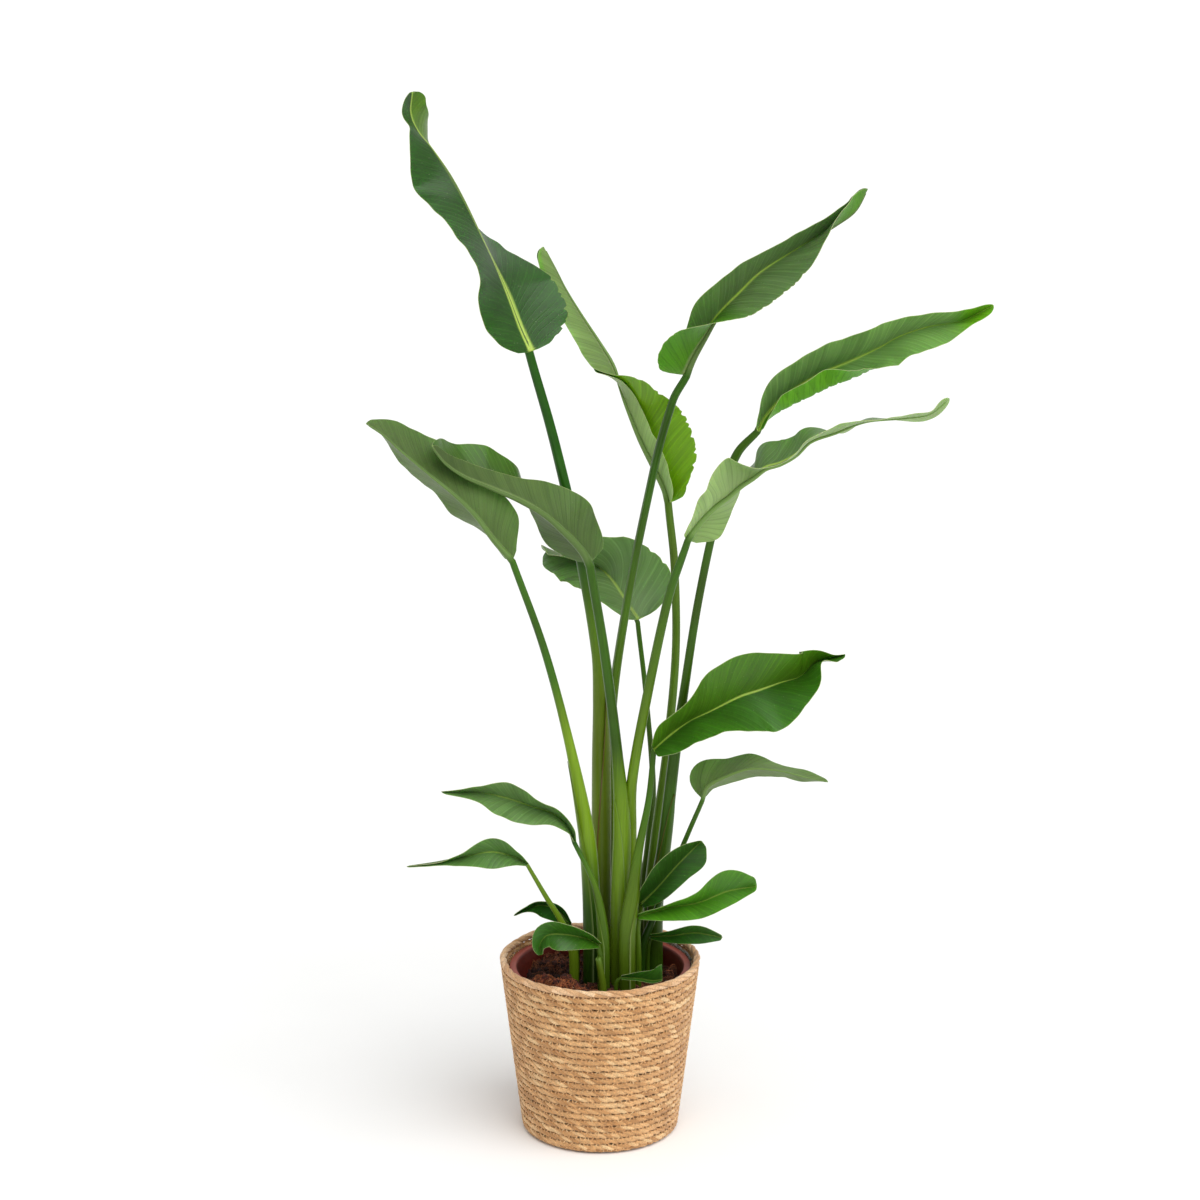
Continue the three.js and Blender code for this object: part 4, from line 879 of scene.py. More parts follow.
# The stalk from the soil up, which runs on under the blade as its midrib.
def addStalk(name, leaf, seed):
    rib = np.array(leaf["rib"], float)
    ribRun = smoothRun(rib, stalkShape["ribRows"])
    skip = stalkShape["ribSkip"]  # rows of the rib that the neck stands in for
    ribAlong = tangentsOf(ribRun[:, :3])
    up = upperWay(leaf, ribRun, ribAlong)
    neckRadius = leaf["stalk"][-1][3]
    ribShare = np.linspace(0, 1, len(ribRun)) ** stalkShape["ribTaper"]
    ribRadius = mix(neckRadius, stalkShape["ribTip"], ribShare)
    sunk = ribRun[:, :3] - up * (ribRadius * stalkShape["ribSink"])[:, None]
    foot = leaf["stalk"][0]
    stalkRows = np.array([[foot[0], foot[1], stalkShape["soilFoot"], foot[3]], *leaf["stalk"]], float)
    length = np.sum(stepLengths(stalkRows[:, :3]))
    stalkRun = smoothRun(stalkRows, int(length / stalkShape["rowStep"]))
    blend = smoothStep(stalkShape["blendFrom"], 1, np.linspace(0, 1, len(stalkRun)))[:, None]
    stalkCentres = stalkRun[:, :3] - up[0] * (neckRadius * stalkShape["ribSink"]) * blend
    centres = np.concatenate([stalkCentres, sunk[skip:-1]])
    radii = np.concatenate([stalkRun[:, 3], ribRadius[skip:-1]])
    along = tangentsOf(centres)
    side = carriedSides(along, up[-2])
    ribStart = len(stalkRun)
    for i in range(ribStart, len(centres)):
        wanted = up[i - ribStart + skip]
        side[i] = normalised(wanted - along[i] * np.dot(wanted, along[i]))
    lower = carriedSides(along[:ribStart + 1], side[ribStart])
    side[:ribStart] = lower[:-1]
    back = np.cross(along, side)
    angles = anglesRound(stalkShape["sides"])
    fromGroove = np.minimum(angles, 2 * math.pi - angles) / stalkShape["grooveWidth"]
    dip = 1 - stalkShape["groove"] * np.exp(-fromGroove ** 2)
    ring = np.stack([np.cos(angles) * dip, np.sin(angles) * dip], axis=-1)
    offsets = ring[None] * radii[:, None, None]
    points, faceSets = tubeMesh(centres, side, back, offsets)
    place = distancesAlong(centres)
    along = np.append(np.repeat(place, len(angles)), [0, place[-1]])
    around = np.append((angles[None] * radii[:, None]).ravel(), [0, 0])
    edge = np.zeros(len(points))
    margin = np.zeros(len(points))
    for sheath in sheaths.get(name, []):
        sheathPoints, sheathFaces, sheathEdge, sheathAround = sheathMesh(stalkRows, sheath)
        faceSets = faceSets + [faces + len(points) for faces in sheathFaces]
        points = np.concatenate([points, sheathPoints])
        along = np.append(along, sheathPoints[:, 2] + 90)
        around = np.append(around, np.tile(sheathAround.ravel() + 40, 2))
        edge = np.append(edge, np.tile(sheathEdge.ravel(), 2))
        margin = np.append(margin, np.full(len(sheathPoints), sheath["margin"]))
    height = points[:, 2]
    inBlade = np.zeros(len(points))
    inBlade[ribStart * len(angles):len(centres) * len(angles)] = 1
    # darker towards the soil, where the stalks shade each other
    inLight = mix(0.55, 1.0, np.clip((height - 170) / 150, 0, 1))
    values = {
        "along": along + 300 * seed, "around": around, "edge": edge, "margin": margin,
        "tone": mix(1.0, leaf["tone"][1], 0.7 * inBlade) * inLight,
        "warm": heightTable(leaf["warm"], height), "blush": heightTable(leaf["blush"], height),
        "ribAndSheen": inBlade,
    }
    return addPiece(f"stalk_{name}", points, faceSets, [freshStalk], f"{name}_stalk",
                    None, values)


for number, (leafName, ownEntry) in enumerate(leaves.items()):
    wholeEntry = {**plainLeaf, **ownEntry}
    addStalk(leafName, wholeEntry, number + 1)
    addBlade(leafName, wholeEntry, number + 1)
print("leaves grown:", len(leaves))


stub = {
    "rows": [[3, -46, 134, 3.8], [3, -46, 171, 3.7], [-2, -45, 203, 3]], "sides": 24, "rings": 20,
    "torn": (-3, 1), "sunk": 3, "dryFrom": 193, "dryTo": 203, "dry": 0.8,
}


# What is left of a leaf that was cut off: short, with a ragged dry top.
def addStub():
    run = smoothRun(stub["rows"], stub["rings"])
    along = tangentsOf(run[:, :3])
    side = carriedSides(along, np.array([0.0, 1.0, 0.0]))
    angles = anglesRound(stub["sides"])
    ring = np.stack([np.cos(angles), np.sin(angles)], axis=-1)
    offsets = ring[None] * run[:, 3][:, None, None]
    points, faceSets = tubeMesh(run[:, :3], side, np.cross(along, side), offsets)
    random = np.random.default_rng(5)
    top = slice((stub["rings"] - 1) * stub["sides"], stub["rings"] * stub["sides"])
    points[top, 2] += random.uniform(*stub["torn"], stub["sides"])
    points[-1, 2] -= stub["sunk"]
    edge = smoothStep(stub["dryFrom"], stub["dryTo"], points[:, 2]) * stub["dry"]
    count = len(points)
    values = {
        "along": points[:, 2], "around": np.append(np.tile(angles * 5, stub["rings"]), [0, 0]),
        "tone": np.full(count, 0.75), "warm": np.full(count, 0.4), "blush": np.full(count, 0.3),
        "edge": edge, "margin": np.zeros(count), "ribAndSheen": np.zeros(count),
    }
    addPiece("stub_cut_stalk", points, faceSets, [freshStalk], "cut_stalk_stub",
             None, values)


addStub()


# The basket: rows of loosely twisted seagrass slivers, sewn edge to edge from the middle of the foot up
# to the rim. The seams show as zigzag stitches with dark gaps between them, their darkness partly painted
# shade.
basket = {
    "footRadius": 82, "rimRadius": 105, "height": 188, "footRound": 6, "footLift": 1.2, "rope": 7.6,
    "gap": 0.3, "rowPitch": 7.1, "strands": 3, "twist": 26, "step": 3.6, "leastSteps": 24, "sides": 8,
    "halfWidth": 2.35, "halfThickness": 1.35, "boxy": 0.8, "swing": 1.3, "dive": 1.25, "tilt": 0.35,
    "uneven": 0.5, "fatter": 0.12, "seamFrom": 2.4, "seamTo": 3.6, "seamDark": 0.7, "rowTone": 0.08,
}
# reach: half the width of a stitch across the seam. low: how far its middle lies below the slivers' outer
# face, ends: how much further its ends lie.
stitch = {
    "pitch": 4.2, "reach": 2.0, "thick": 0.6, "low": 0.55, "ends": 1.1, "drop": 0.4, "innerSeams": 9,
    "section": [(1, 0.2), (0.2, 0.8), (-1, 0.2), (-0.2, -0.6)],
}


def basketRadius(z):
    return basket["footRadius"] + (basket["rimRadius"] - basket["footRadius"]) * z / basket["height"]


# The outside of the basket is flat at the foot, rounds the corner and runs straight up the wall.
def sectionShape():
    slope = math.atan((basket["rimRadius"] - basket["footRadius"]) / basket["height"])
    turn = math.pi / 2 - slope
    bend = basket["footRound"]
    cornerTop = bend * (1 - math.cos(turn))
    flat = basketRadius(cornerTop) - bend * math.sin(turn)
    wallTop = basket["height"] - basket["rope"] - basket["gap"]
    return slope, turn, cornerTop, flat, flat + bend * turn + (wallTop - cornerTop) / math.cos(slope)


# Radius, height and the way the section runs, at a distance along it from the middle of the foot.
def sectionAt(s):
    slope, turn, cornerTop, flat, _ = sectionShape()
    bend = basket["footRound"]
    if s < flat:
        return s, basket["footLift"], 0.0
    if s < flat + bend * turn:
        angle = (s - flat) / bend
        lift = basket["footLift"] * (1 - angle / turn)
        return flat + bend * math.sin(angle), bend * (1 - math.cos(angle)) + lift, angle
    rise = s - flat - bend * turn
    return (basketRadius(cornerTop) + rise * math.sin(slope), cornerTop + rise * math.cos(slope), turn)


# Joins tubes that each come as rings of points and what the material reads at each point.
class TubeBundle:
    def __init__(self):
        self.points, self.quads, self.start = [], [], 0
        self.values = {"along": [], "around": [], "depth": [], "hue": []}

    def add(self, skin, closed, **values):
        rings, sides = skin.shape[:2]
        grid = gridQuads(rings + (1 if closed else 0), sides, wrap=True) % (rings * sides)
        self.quads.append(grid + self.start)
        if not closed:
            ends = np.array([[0, 3, 2, 1], [0, 1, 2, 3]]) + np.array([[0], [(rings - 1) * sides]])
            self.quads.append(ends + self.start)
        self.points.append(skin.reshape(-1, 3))
        for label, numbers in values.items():
            self.values[label].append(np.broadcast_to(numbers, (rings, sides)).ravel())
        self.start += rings * sides

    def finish(self, name, material, node, slot):
        values = {label: np.concatenate(numbers) for label, numbers in self.values.items()}
        addPiece(name, np.concatenate(self.points), [np.concatenate(self.quads)], [material], node,
                 None, values)


# The middle line of a row or seam at s, half a row's thickness below the outer face: its radius, the way
# out of the section there, and a function for the radius and height of points across and out from it.
def rowFrame(s):
    radius, z, angle = sectionAt(s)
    runWay = np.array([math.cos(angle), math.sin(angle)])
    outWay = np.array([math.sin(angle), -math.cos(angle)])
    radius, z = np.array([radius, z]) - outWay * (basket["dive"] + basket["halfThickness"])

    def placed(across, out):
        return radius + runWay[0] * across + outWay[0] * out, z + runWay[1] * across + outWay[1] * out

    return radius, outWay, placed


# A tone for each sliver along a strand: a new one is fed in with every turn.
def sliverTones(turn, least, random):
    fed = np.floor(turn / (2 * math.pi)).astype(int)
    tones = random.uniform(least, 1, fed.max() - fed.min() + 1)
    return tones[fed - fed.min()]


# One row: slivers that twist slowly round each other, each changing tone where a new one was fed in
def addRow(bundle, s, random):
    radius, _, placed = rowFrame(s)
    length = 2 * math.pi * radius
    twists = max(1, round(length / basket["twist"]))
    theta = anglesRound(max(basket["leastSteps"], int(length / basket["step"])))
    wobble = sum(random.uniform(0.2, 0.6) * np.sin(n * theta + anyPhase(random)) for n in (3, 7, 12, 19))
    shift = random.uniform(0, 2 * math.pi)
    uneven = sum(size * np.sin(n * theta + anyPhase(random)) for n, size in ((2, 0.8), (5, 0.6)))
    turns = anglesRound(basket["sides"]) + math.pi / basket["sides"]
    rowTone = random.uniform(-basket["rowTone"], basket["rowTone"])
    for strand in range(basket["strands"]):
        wave = twists * theta + shift + uneven + 2 * math.pi * strand / basket["strands"]
        across = basket["swing"] * np.cos(wave) + basket["uneven"] * wobble
        depth = basket["dive"] * np.sin(wave) + 0.15 * np.sin(17 * theta + anyPhase(random))
        fat = 1 + basket["fatter"] * np.sin(twists * theta * 1.7 + anyPhase(random))
        tilt = basket["tilt"] * np.cos(wave)[:, None]
        wide = np.cos(turns)[None] * basket["halfWidth"] * fat[:, None]
        thick = np.sign(np.sin(turns)) * np.abs(np.sin(turns)) ** basket["boxy"] * basket["halfThickness"]
        acrossPoint = across[:, None] + wide * np.cos(tilt) - thick[None] * np.sin(tilt)
        outPoint = depth[:, None] + wide * np.sin(tilt) + thick[None] * np.cos(tilt)
        pointRadius, height = placed(acrossPoint, outPoint)
        skin = aroundAxis(pointRadius, theta[:, None], height)
        hue = np.clip(sliverTones(wave + math.pi / 2, 0, random) + rowTone, 0, 1)
        # painted shade: the sides of a row that face into the seams are marked to take the hollow colour
        seamShade = smoothStep(basket["seamFrom"], basket["seamTo"], np.abs(acrossPoint))
        seamShade = seamShade * smoothStep(1.6, 0.4, np.abs(outPoint))
        bundle.add(skin, True, along=(theta * radius + random.uniform(0, 900))[:, None],
                   around=turns[None] * 2.2, depth=seamShade * basket["seamDark"], hue=hue[:, None])


# The stitches of one seam, on the outside (way 1) or the inside (way -1) of the wall
def addSeam(bundle, s, way, random):
    radius, outWay, placed = rowFrame(s)
    count = int(2 * math.pi * radius / stitch["pitch"])
    bars = np.arange(-2, 3) / 2
    out = way * (basket["dive"] + basket["halfThickness"] - stitch["low"] - stitch["ends"] * bars ** 2)
    for i in range(count):
        slant = stitch["reach"] * random.uniform(0.5, 1.1) * (1 if i % 2 else -0.35)
        reach = stitch["reach"] * random.uniform(0.85, 1.15)
        place = (i + random.uniform(-0.15, 0.15)) * 2 * math.pi / count
        theta = place + bars * slant / radius
        pointRadius, height = placed(bars * reach + random.uniform(-0.3, 0.3), out)
        centre = aroundAxis(pointRadius, theta, height)
        outward = aroundAxis(1, theta, 0) * outWay[0] + np.array([0, 0, 1.0]) * outWay[1]
        side = normalised(np.cross(tangentsOf(centre), outward * way))
        thick = stitch["thick"] * random.uniform(0.8, 1.3)
        skin = np.stack([centre + side * a * thick + outward * way * b * thick
                         for a, b in stitch["section"]], axis=1)
        bundle.add(skin, False, along=place * radius, around=bars[:, None] * 2, depth=0.0,
                   hue=random.uniform(0.45, 1))


# One piece of the basket from its rows or seams. Each place is a distance along the section, for a seam
# with the side that it is on.
def addBraid(name, addOne, places, random):
    bundle = TubeBundle()
    for place in places:
        addOne(bundle, *place, random)
    bundle.finish(name, seagrassBraid, "basket_body", "seagrass_braid")


def addBasket():
    random = np.random.default_rng(21)
    flat, whole = sectionShape()[3:]
    rows = round((whole - flat) / basket["rowPitch"])
    pitch = (whole - flat) / rows
    wallRows = [(whole - pitch * (k + 0.5),) for k in range(rows)]
    footRows = [(flat - pitch * (k + 0.5),) for k in range(int(flat / pitch))]
    seams = [(whole - pitch * k - stitch["drop"], 1) for k in range(rows + 1)]
    seams += [(whole - pitch * k - stitch["drop"], -1) for k in range(stitch["innerSeams"])]
    addBraid("basket_wall_rows", addRow, wallRows, random)
    addBraid("basket_foot_rows", addRow, footRows, random)
    addBraid("basket_seam_stitches", addSeam, seams, random)


addBasket()
print("basket sewn")


rope = {
    "strands": 3, "twists": 14, "offset": 1.9, "wide": 2.3, "thick": 1.75, "steps": 30, "sides": 12,
    "fatter": 0.08, "ridges": 5, "ridge": 0.05, "hollowFrom": 2.9, "hollowTo": 1.6, "hollow": 0.85,
}


# The rim: three thick slivers twisted into a rope and sewn round the top row.
def addRope():
    ringRadius = basket["rimRadius"] - basket["rope"] / 2
    ringHeight = basket["height"] - basket["rope"] / 2
    random = np.random.default_rng(3)
    theta = anglesRound(rope["twists"] * rope["steps"])
    radial = aroundAxis(1, theta, 0)
    upward = np.array([0.0, 0.0, 1.0])
    turns = anglesRound(rope["sides"])
    ridges = 1 + rope["ridge"] * np.cos(rope["ridges"] * turns)[None]
    drift = 0.35 * np.sin(6 * theta + 1) + 0.25 * np.sin(13 * theta + 2)
    uneven = 0.5 * np.sin(3 * theta + 0.7) + 0.35 * np.sin(8 * theta)
    core = radial * ringRadius + upward * (ringHeight + drift)[:, None]
    bundle = TubeBundle()
    for strand in range(rope["strands"]):
        turn = -rope["twists"] * theta + uneven + 2 * math.pi * strand / rope["strands"]
        out = np.cos(turn)
        lift = np.sin(turn)
        centre = radial * (ringRadius + rope["offset"] * out + 0.3 * np.sin(9 * theta))[:, None]
        centre = centre + upward * (ringHeight + rope["offset"] * lift + drift)[:, None]
        away = radial * out[:, None] + upward * lift[:, None]
        along = normalised(np.roll(centre, -1, axis=0) - np.roll(centre, 1, axis=0))
        side = normalised(np.cross(along, away))
        fat = 1 + rope["fatter"] * np.sin(17 * theta + anyPhase(random))
        wide = (np.cos(turns)[None] * rope["wide"] * fat[:, None] * ridges)[..., None]
        thick = (np.sin(turns)[None] * rope["thick"] * fat[:, None] * ridges)[..., None]
        skin = centre[:, None] + side[:, None] * wide + away[:, None] * thick
        place = theta * ringRadius + 700 * strand
        # painted shade: where the slivers face the rope's core, in the creases between them
        fromCore = np.linalg.norm(skin - core[:, None], axis=-1)
        ropeCoreShade = smoothStep(rope["hollowFrom"], rope["hollowTo"], fromCore) * rope["hollow"]
        bundle.add(skin, True, along=place[:, None], around=turns[None] * rope["wide"], depth=ropeCoreShade,
                   hue=sliverTones(turn, 0.1, random)[:, None])
    bundle.finish("basket_rim", seagrassRope, "basket_rim_rope", "seagrass_rope")


addRope()


pot = {
    "floor": 9.4, "height": 168.6, "rimRadius": 94.5, "footRadius": 68, "wall": 1.6, "base": 2.4,
    "rimBand": 7.6, "rimLip": 6.4, "rimDrop": 11, "footRing": 3, "round": 0.9, "sides": 192,
    "drainHoles": 8, "drainRadius": 5, "drainCircle": 46, "holeSides": 24, "wedgePull": 1.4, "wearAndHighlight": 0.85,
}
potTop = pot["floor"] + pot["height"]


def potRadius(z):
    share = (z - pot["floor"]) / pot["height"]
    return pot["footRadius"] + (pot["rimRadius"] - pot["rimBand"] - pot["footRadius"]) * share


# A closed section in radius and height with each corner rounded, turned round the upright axis.
def turnedMesh(section, rounding, sides):
    corners = np.array(section, float)
    outline = []
    for i, corner in enumerate(corners):
        toBefore = corners[i - 1] - corner
        toAfter = corners[(i + 1) % len(corners)] - corner
        reach = min(rounding, 0.45 * np.linalg.norm(toBefore), 0.45 * np.linalg.norm(toAfter))
        start = corner + normalised(toBefore) * reach
        end = corner + normalised(toAfter) * reach
        for t in (0, 0.25, 0.5, 0.75, 1):
            outline.append((1 - t) ** 2 * start + 2 * t * (1 - t) * corner + t * t * end)
    outline = np.array(outline)
    skin = aroundAxis(outline[:, :1], anglesRound(sides), outline[:, 1:])
    quads = gridQuads(len(outline) + 1, sides, wrap=True) % (len(outline) * sides)
    return skin.reshape(-1, 3), quads


# The pot's floor is a plate inside the turned wall: round drain holes in it, each in its own wedge. Each
# point of a hole looks out to the border of its wedge, which is walked round in the same order.
def drainPlate(reach, low, high):
    holes, perHole, circle = pot["drainHoles"], pot["holeSides"], pot["drainCircle"]
    angles = anglesRound(perHole)
    out = np.clip(np.cos(angles) * pot["wedgePull"], -1, 1)
    far = np.where(out < 0, circle * (1 + out), circle + (reach - circle) * out)
    side = np.clip(np.sin(angles) * pot["wedgePull"], -1, 1) * math.pi / holes
    hole = (circle + pot["drainRadius"] * np.cos(angles), pot["drainRadius"] * np.sin(angles))
    wedge = (far * np.cos(side), far * np.sin(side))
    points, quads = [], []
    for number in range(holes):
        for ring, z in ((wedge, high), (hole, high), (hole, low), (wedge, low)):
            x, y = spun(*ring, 2 * math.pi * number / holes)
            points.append(np.stack([x, y, np.full(perHole, z)], axis=-1))
        quads.append(gridQuads(4, perHole, wrap=True) + number * 4 * perHole)
    return np.concatenate(points), np.concatenate(quads)


def addPot():
    low = pot["floor"]
    under = potTop - pot["rimDrop"]
    lip = pot["rimRadius"] - pot["rimLip"]
    plateEdge = potRadius(low) - pot["footRing"]
    section = [
        [plateEdge, low], [potRadius(low), low], [potRadius(under), under],
        [pot["rimRadius"], under], [pot["rimRadius"], potTop], [lip, potTop],
        [lip - pot["wall"], potTop - pot["wall"] * 1.5], [potRadius(under) - pot["wall"], under],
        [potRadius(low + pot["base"]) - pot["wall"], low + pot["base"]], [plateEdge, low + pot["base"]],
    ]
    points, quads = turnedMesh(section, pot["round"], pot["sides"])
    plate, plateQuads = drainPlate(plateEdge + 0.4, low + pot["footRing"] / 2 - 0.6, low + pot["base"] - 0.05)
    radius = np.hypot(points[:, 0], points[:, 1])
    # painted highlight: the top face of the rim, within the lip, is marked to be coloured lighter
    rim = smoothStep(potTop - 4, potTop - 1, points[:, 2]) * smoothStep(lip - 1.5, lip + 0.5, radius)
    edge = np.concatenate([rim * pot["wearAndHighlight"], np.zeros(len(plate))])
    addPiece("pot_brown", np.concatenate([points, plate]), [quads, plateQuads + len(points)], [potPlastic],
             "nursery_pot", None, {"edge": edge})


addPot()


film = {
    "thickness": 0.35, "top": 180, "dip": 2.2, "creases": 0.9, "sides": 420, "levels": 48, "wallGap": 7.0,
    "foot": 9.0, "puckerFrom": 0.8, "puckerIn": 0.6, "slump": 12, "standsAt": -10, "standsFor": 75,
    "standsSoft": 25, "flat": (0.6, 0.185),
}


# The liner: a thin film bag between pot and basket, its top edge wavy and puckered. It stands up beside
# the pot's rim on the right and has slumped down on the left.
def addFilm():
    theta = anglesRound(film["sides"])
    random = np.random.default_rng(9)
    waves = [(n, anyPhase(random), random.uniform(0.3, 1)) for n in (3, 5, 8, 13, 21, 34, 55)]
    edgeDip = sum(size * np.sin(n * theta + phase) for n, phase, size in waves[:4]) / 2
    creases = sum(size * np.sin(n * theta + phase) for n, phase, size in waves[2:]) / 2
    fromStanding = np.degrees(np.abs(np.angle(np.exp(1j * (theta - math.radians(film["standsAt"]))))))
    soft = film["standsSoft"]
    slumped = film["slump"] * smoothStep(film["standsFor"] - soft, film["standsFor"] + soft, fromStanding)
    rings = []
    for level in np.linspace(0, 1, film["levels"]):
        z = mix(film["foot"], film["top"] + film["dip"] * edgeDip - slumped, level)
        puckered = smoothStep(film["puckerFrom"], 1, level)
        pucker = (film["creases"] * creases - film["puckerIn"]) * puckered
        radius = basketRadius(z) - film["wallGap"] + pucker
        rings.append((radius, z))
    outer = [(0 * theta, 0 * theta + film["foot"]), *rings]
    inner = [(np.maximum(r - film["thickness"], 0), z + (film["thickness"] if i < 2 else 0))
             for i, (r, z) in enumerate(outer)]
    shells = outer + inner[::-1]
    skin = np.stack([aroundAxis(r, theta, z) for r, z in shells])
    quads = gridQuads(len(shells), film["sides"], wrap=True)
    bag = addPiece("film_bag", skin.reshape(-1, 3), [quads], [clearFilm], "film_liner")


addFilm()


# reach: how far out loose fibres and crumbs lie. wallGap: left between soil and pot.
soil = {
    "top": 157, "floor": 12.1, "wallGap": 0.3, "rings": 110, "sides": 300, "reach": 84, "fibres": 4200,
    "crumbs": 900, "pale": 90, "lump": 2.4, "lumpLength": 7, "rough": 6, "roughLength": 10,
}
# A ridge of coir at the front left, up to the rim, a knob of it further back, and a deep pocket between
mounds = [
    {"x": -44, "y": -43, "rise": 20, "wide": 44, "deep": 17, "turn": -25},
    {"x": -50, "y": 54, "rise": 7, "wide": 15, "deep": 15, "turn": 0},
    {"x": -48, "y": 12, "rise": -26, "wide": 25.2, "deep": 18, "turn": 0},
]


def moundHeight(mound, x, y):
    offX, offY = spun(x - mound["x"], y - mound["y"], math.radians(-mound["turn"]))
    return mound["rise"] * np.exp(-(offX / mound["wide"]) ** 2 - (offY / mound["deep"]) ** 2)


def soilHeight(x, y):
    height = soil["top"] + sum(moundHeight(mound, x, y) for mound in mounds)
    lumps = np.sin(x / soil["lumpLength"]) * np.cos(y / soil["lumpLength"])
    lumps = lumps + np.sin((x - y) / soil["lumpLength"]) / 2
    places = zip(np.ravel(x) / soil["roughLength"], np.ravel(y) / soil["roughLength"])
    rough = np.array([noise.fractal(Vector((a, b, 3.1)), 0.9, 2.1, 5) for a, b in places])
    return height + soil["lump"] * lumps + soil["rough"] * rough.reshape(np.shape(x))


# Random places on the soil, spread evenly over it
def scattered(random, count):
    radius = soil["reach"] * np.sqrt(random.uniform(0, 1, count))
    angle = random.uniform(0, 2 * math.pi, count)
    return radius * np.cos(angle), radius * np.sin(angle)


# Curly coir fibres that lie on the soil, each a thin three-sided tube
def fibreMesh(random, count):
    rings, sides = 7, 3
    x, y = scattered(random, count)
    heading = random.uniform(0, 2 * math.pi, count)
    bend = random.normal(0, 1.6, count)
    length = random.uniform(7, 26, count)
    thick = random.uniform(0.22, 0.55, count)
    arch = random.uniform(0.4, 3.2, count)
    points = np.zeros((count, rings, sides, 3))
    for i, share in enumerate(np.linspace(0, 1, rings)):
        way = heading + bend * share
        inwards = np.minimum(soil["reach"] / np.hypot(x, y), 1)
        x, y = x * inwards, y * inwards
        z = soilHeight(x, y) + 0.5 + arch * math.sin(math.pi * share)
        for k, turn in enumerate(anglesRound(sides)):
            points[:, i, k, 0] = x + thick * math.cos(turn) * np.sin(way)
            points[:, i, k, 1] = y - thick * math.cos(turn) * np.cos(way)
            points[:, i, k, 2] = z + thick * math.sin(turn)
        x = x + np.cos(way) * length / rings
        y = y + np.sin(way) * length / rings
    last = (rings - 1) * sides
    caps = np.array([[0, 2, 1], [last, last + 1, last + 2]])
    starts = (np.arange(count) * rings * sides)[:, None, None]
    quads = (gridQuads(rings, sides, wrap=True)[None] + starts).reshape(-1, 4)
    tones = np.repeat(random.uniform(0.5, 1.3, count), rings * sides)
    return points.reshape(-1, 3), quads, (caps[None] + starts).reshape(-1, 3), tones


# Broken lumps: a ball of 42 points pulled out of shape for each.
def crumbMesh(random, count, low, high):
    ball = bmesh.new()
    bmesh.ops.create_icosphere(ball, subdivisions=2, radius=1)
    shape = np.array([v.co for v in ball.verts])
    faces = np.array([[v.index for v in f.verts] for f in ball.faces])
    ball.free()
    x, y = scattered(random, count)
    size = random.uniform(low, high, count)
    stretch = random.uniform(0.45, 1.2, (count, 1, 3))
    rough = random.uniform(0.72, 1.2, (count, len(shape), 1))
    spin = random.uniform(0, 2 * math.pi, count)
    local = shape[None] * stretch * rough * size[:, None, None]
    turned = np.stack([*spun(local[..., 0], local[..., 1], spin[:, None]), local[..., 2]], axis=-1)
    seat = np.stack([x, y, soilHeight(x, y) + size * 0.25], axis=-1)
    points = (turned + seat[:, None]).reshape(-1, 3)
    starts = (np.arange(count) * len(shape))[:, None, None]
    tones = np.repeat(random.uniform(0.6, 1.3, count), len(shape))
    return points, (faces[None] + starts).reshape(-1, 3), tones


# Painted shade and light: the soil is darker the lower it lies, darkest in the hollow, and lighter on the
# ridge.
def shadeByHeight(points):
    return mix(0.1, 1.5, smoothStep(soil["top"] - 12, soil["top"] + 22, points[:, 2]))


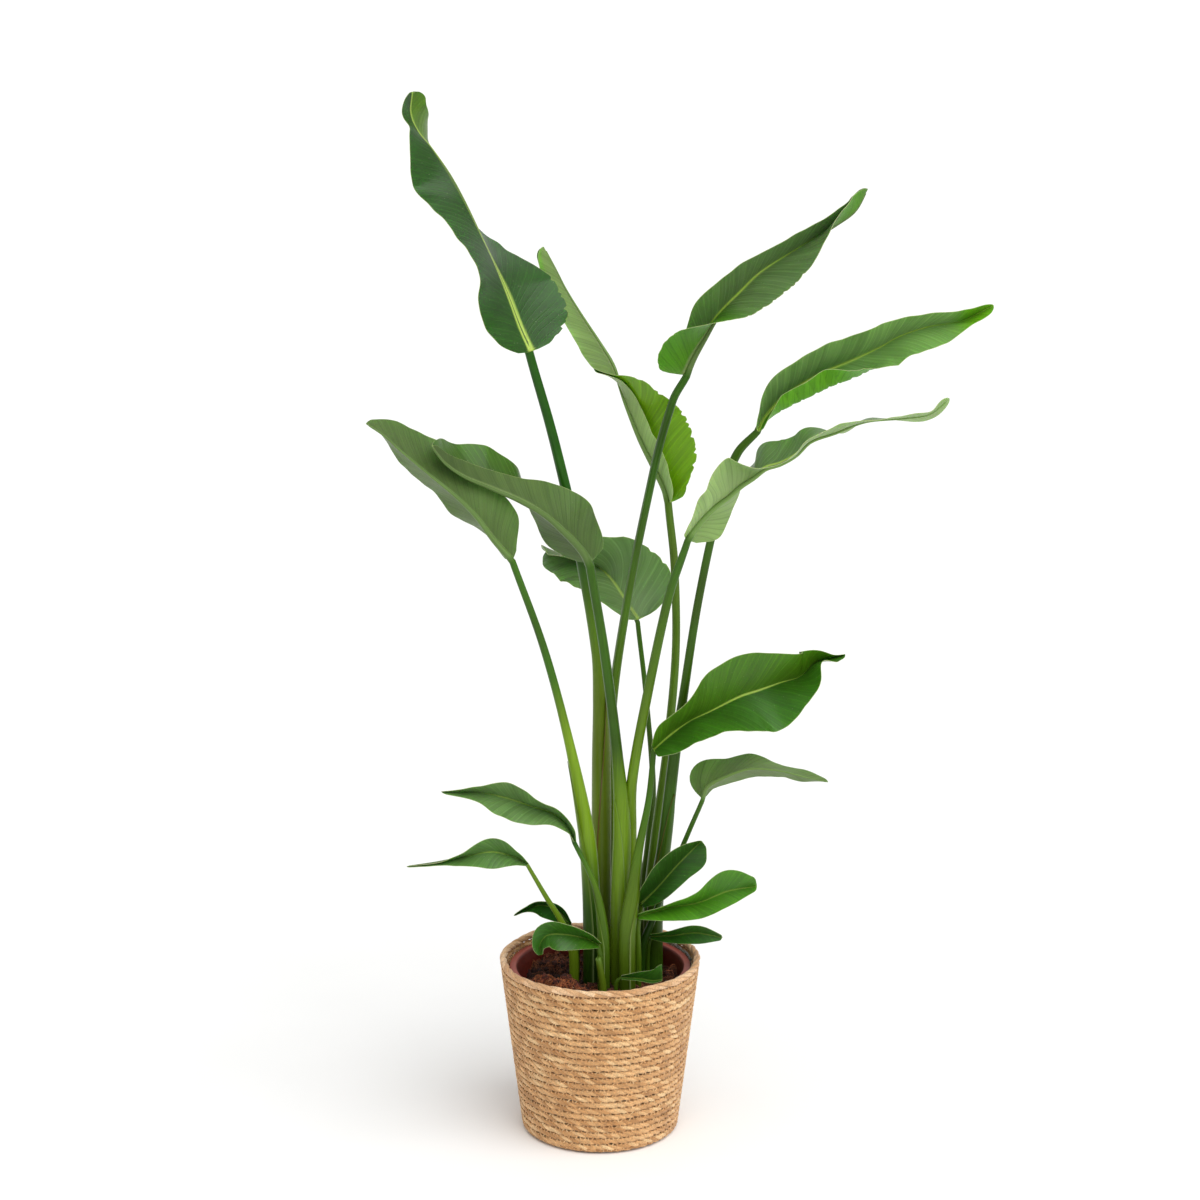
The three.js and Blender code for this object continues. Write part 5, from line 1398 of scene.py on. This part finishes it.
def addSoil():
    random = np.random.default_rng(17)
    rings, sides = soil["rings"], soil["sides"]
    edgeRadius = potRadius(soil["top"]) - pot["wall"] - soil["wallGap"]
    lowRadius = potRadius(soil["floor"]) - pot["wall"] - soil["wallGap"]
    radii = np.linspace(0, edgeRadius, rings)[1:]
    theta = anglesRound(sides)
    x = radii[:, None] * np.cos(theta)
    y = radii[:, None] * np.sin(theta)
    top = np.stack([x, y, soilHeight(x, y)], axis=-1)
    wall = aroundAxis(lowRadius, theta, soil["floor"])
    middle = [[0, 0, soilHeight(0.0, 0.0).item()], [0, 0, soil["floor"]]]
    points = np.concatenate([top.reshape(-1, 3), wall, middle])
    quads = gridQuads(rings, sides, wrap=True)
    hub = rings * sides
    topFan = fan(hub, 0, sides)
    bottomFan = fan(hub + 1, (rings - 1) * sides, sides, reverse=True)
    fibrePoints, fibreQuads, fibreCaps, fibreTones = fibreMesh(random, soil["fibres"])
    crumbPoints, crumbFaces, crumbTones = crumbMesh(random, soil["crumbs"], 1.2, 4.2)
    palePoints, paleFaces, paleTones = crumbMesh(random, soil["pale"], 0.5, 1.3)
    crumbStart = len(points)
    paleStart = crumbStart + len(crumbPoints)
    allPoints = np.concatenate([points, crumbPoints, palePoints])
    faceSets = [quads[:, ::-1], topFan, bottomFan, crumbFaces + crumbStart, paleFaces + paleStart]
    faceMaterial = np.repeat([0, 0, 0, 0, 1], [len(f) for f in faceSets])
    tone = np.concatenate([np.ones(crumbStart), crumbTones, paleTones]) * shadeByHeight(allPoints)
    addPiece("soil_compost", allPoints, faceSets, [compost, paleCrumb], "potting_soil",
             faceMaterial, {"tone": tone})
    addPiece("soil_fibres", fibrePoints, [fibreQuads, fibreCaps], [coirFibre], "potting_soil",
             None, {"tone": fibreTones * shadeByHeight(fibrePoints)})


addSoil()
print("pot filled")


# The studio: a plain pale floor that runs past the edge of the view, soft white light all round, and a
# very large soft light from the upper right front.
studio = {
    "floorRadius": 60, "floorSides": 96, "floorHeight": -0.0002, "floorColours": ("#f4f4f3", "#f8f8f7"),
    "world": 0.62, "sunStrength": 2.3, "sunAngle": 66, "sunHeight": 52, "sunFromFront": -38,
}


def addStudio():
    mesh = bpy.data.meshes.new("studioFloor")
    ring = aroundAxis(studio["floorRadius"], anglesRound(studio["floorSides"]), studio["floorHeight"])
    mesh.from_pydata(ring.tolist(), [], [list(range(len(ring)))])
    nodes = MaterialNodes("paleFloor")
    low, high = studio["floorColours"]
    shade = nodes.ramp(nodes.noise(nodes.place(), 3, 2), [(0.3, low), (0.7, high)])
    mesh.materials.append(nodes.finish({"Base Color": shade, "Roughness": 0.9}))
    floor = bpy.data.objects.new("studioFloor", mesh)
    bpy.context.scene.collection.objects.link(floor)
    world = bpy.data.worlds.new("softWhite")
    world.use_nodes = True
    background = world.node_tree.nodes["Background"]
    background.inputs["Color"].default_value = linear("#ffffff")
    background.inputs["Strength"].default_value = studio["world"]
    bpy.context.scene.world = world
    bpy.context.scene.view_settings.view_transform = "Standard"


def addLargeLight():
    data = bpy.data.lights.new("largeSoftLight", "SUN")
    data.energy = studio["sunStrength"]
    data.angle = math.radians(studio["sunAngle"])
    light = bpy.data.objects.new("largeSoftLight", data)
    tilt = math.radians(90 - studio["sunHeight"])
    light.rotation_euler = (tilt, 0, math.radians(-studio["sunFromFront"]))
    bpy.context.scene.collection.objects.link(light)


addStudio()
addLargeLight()
print("studio lit")
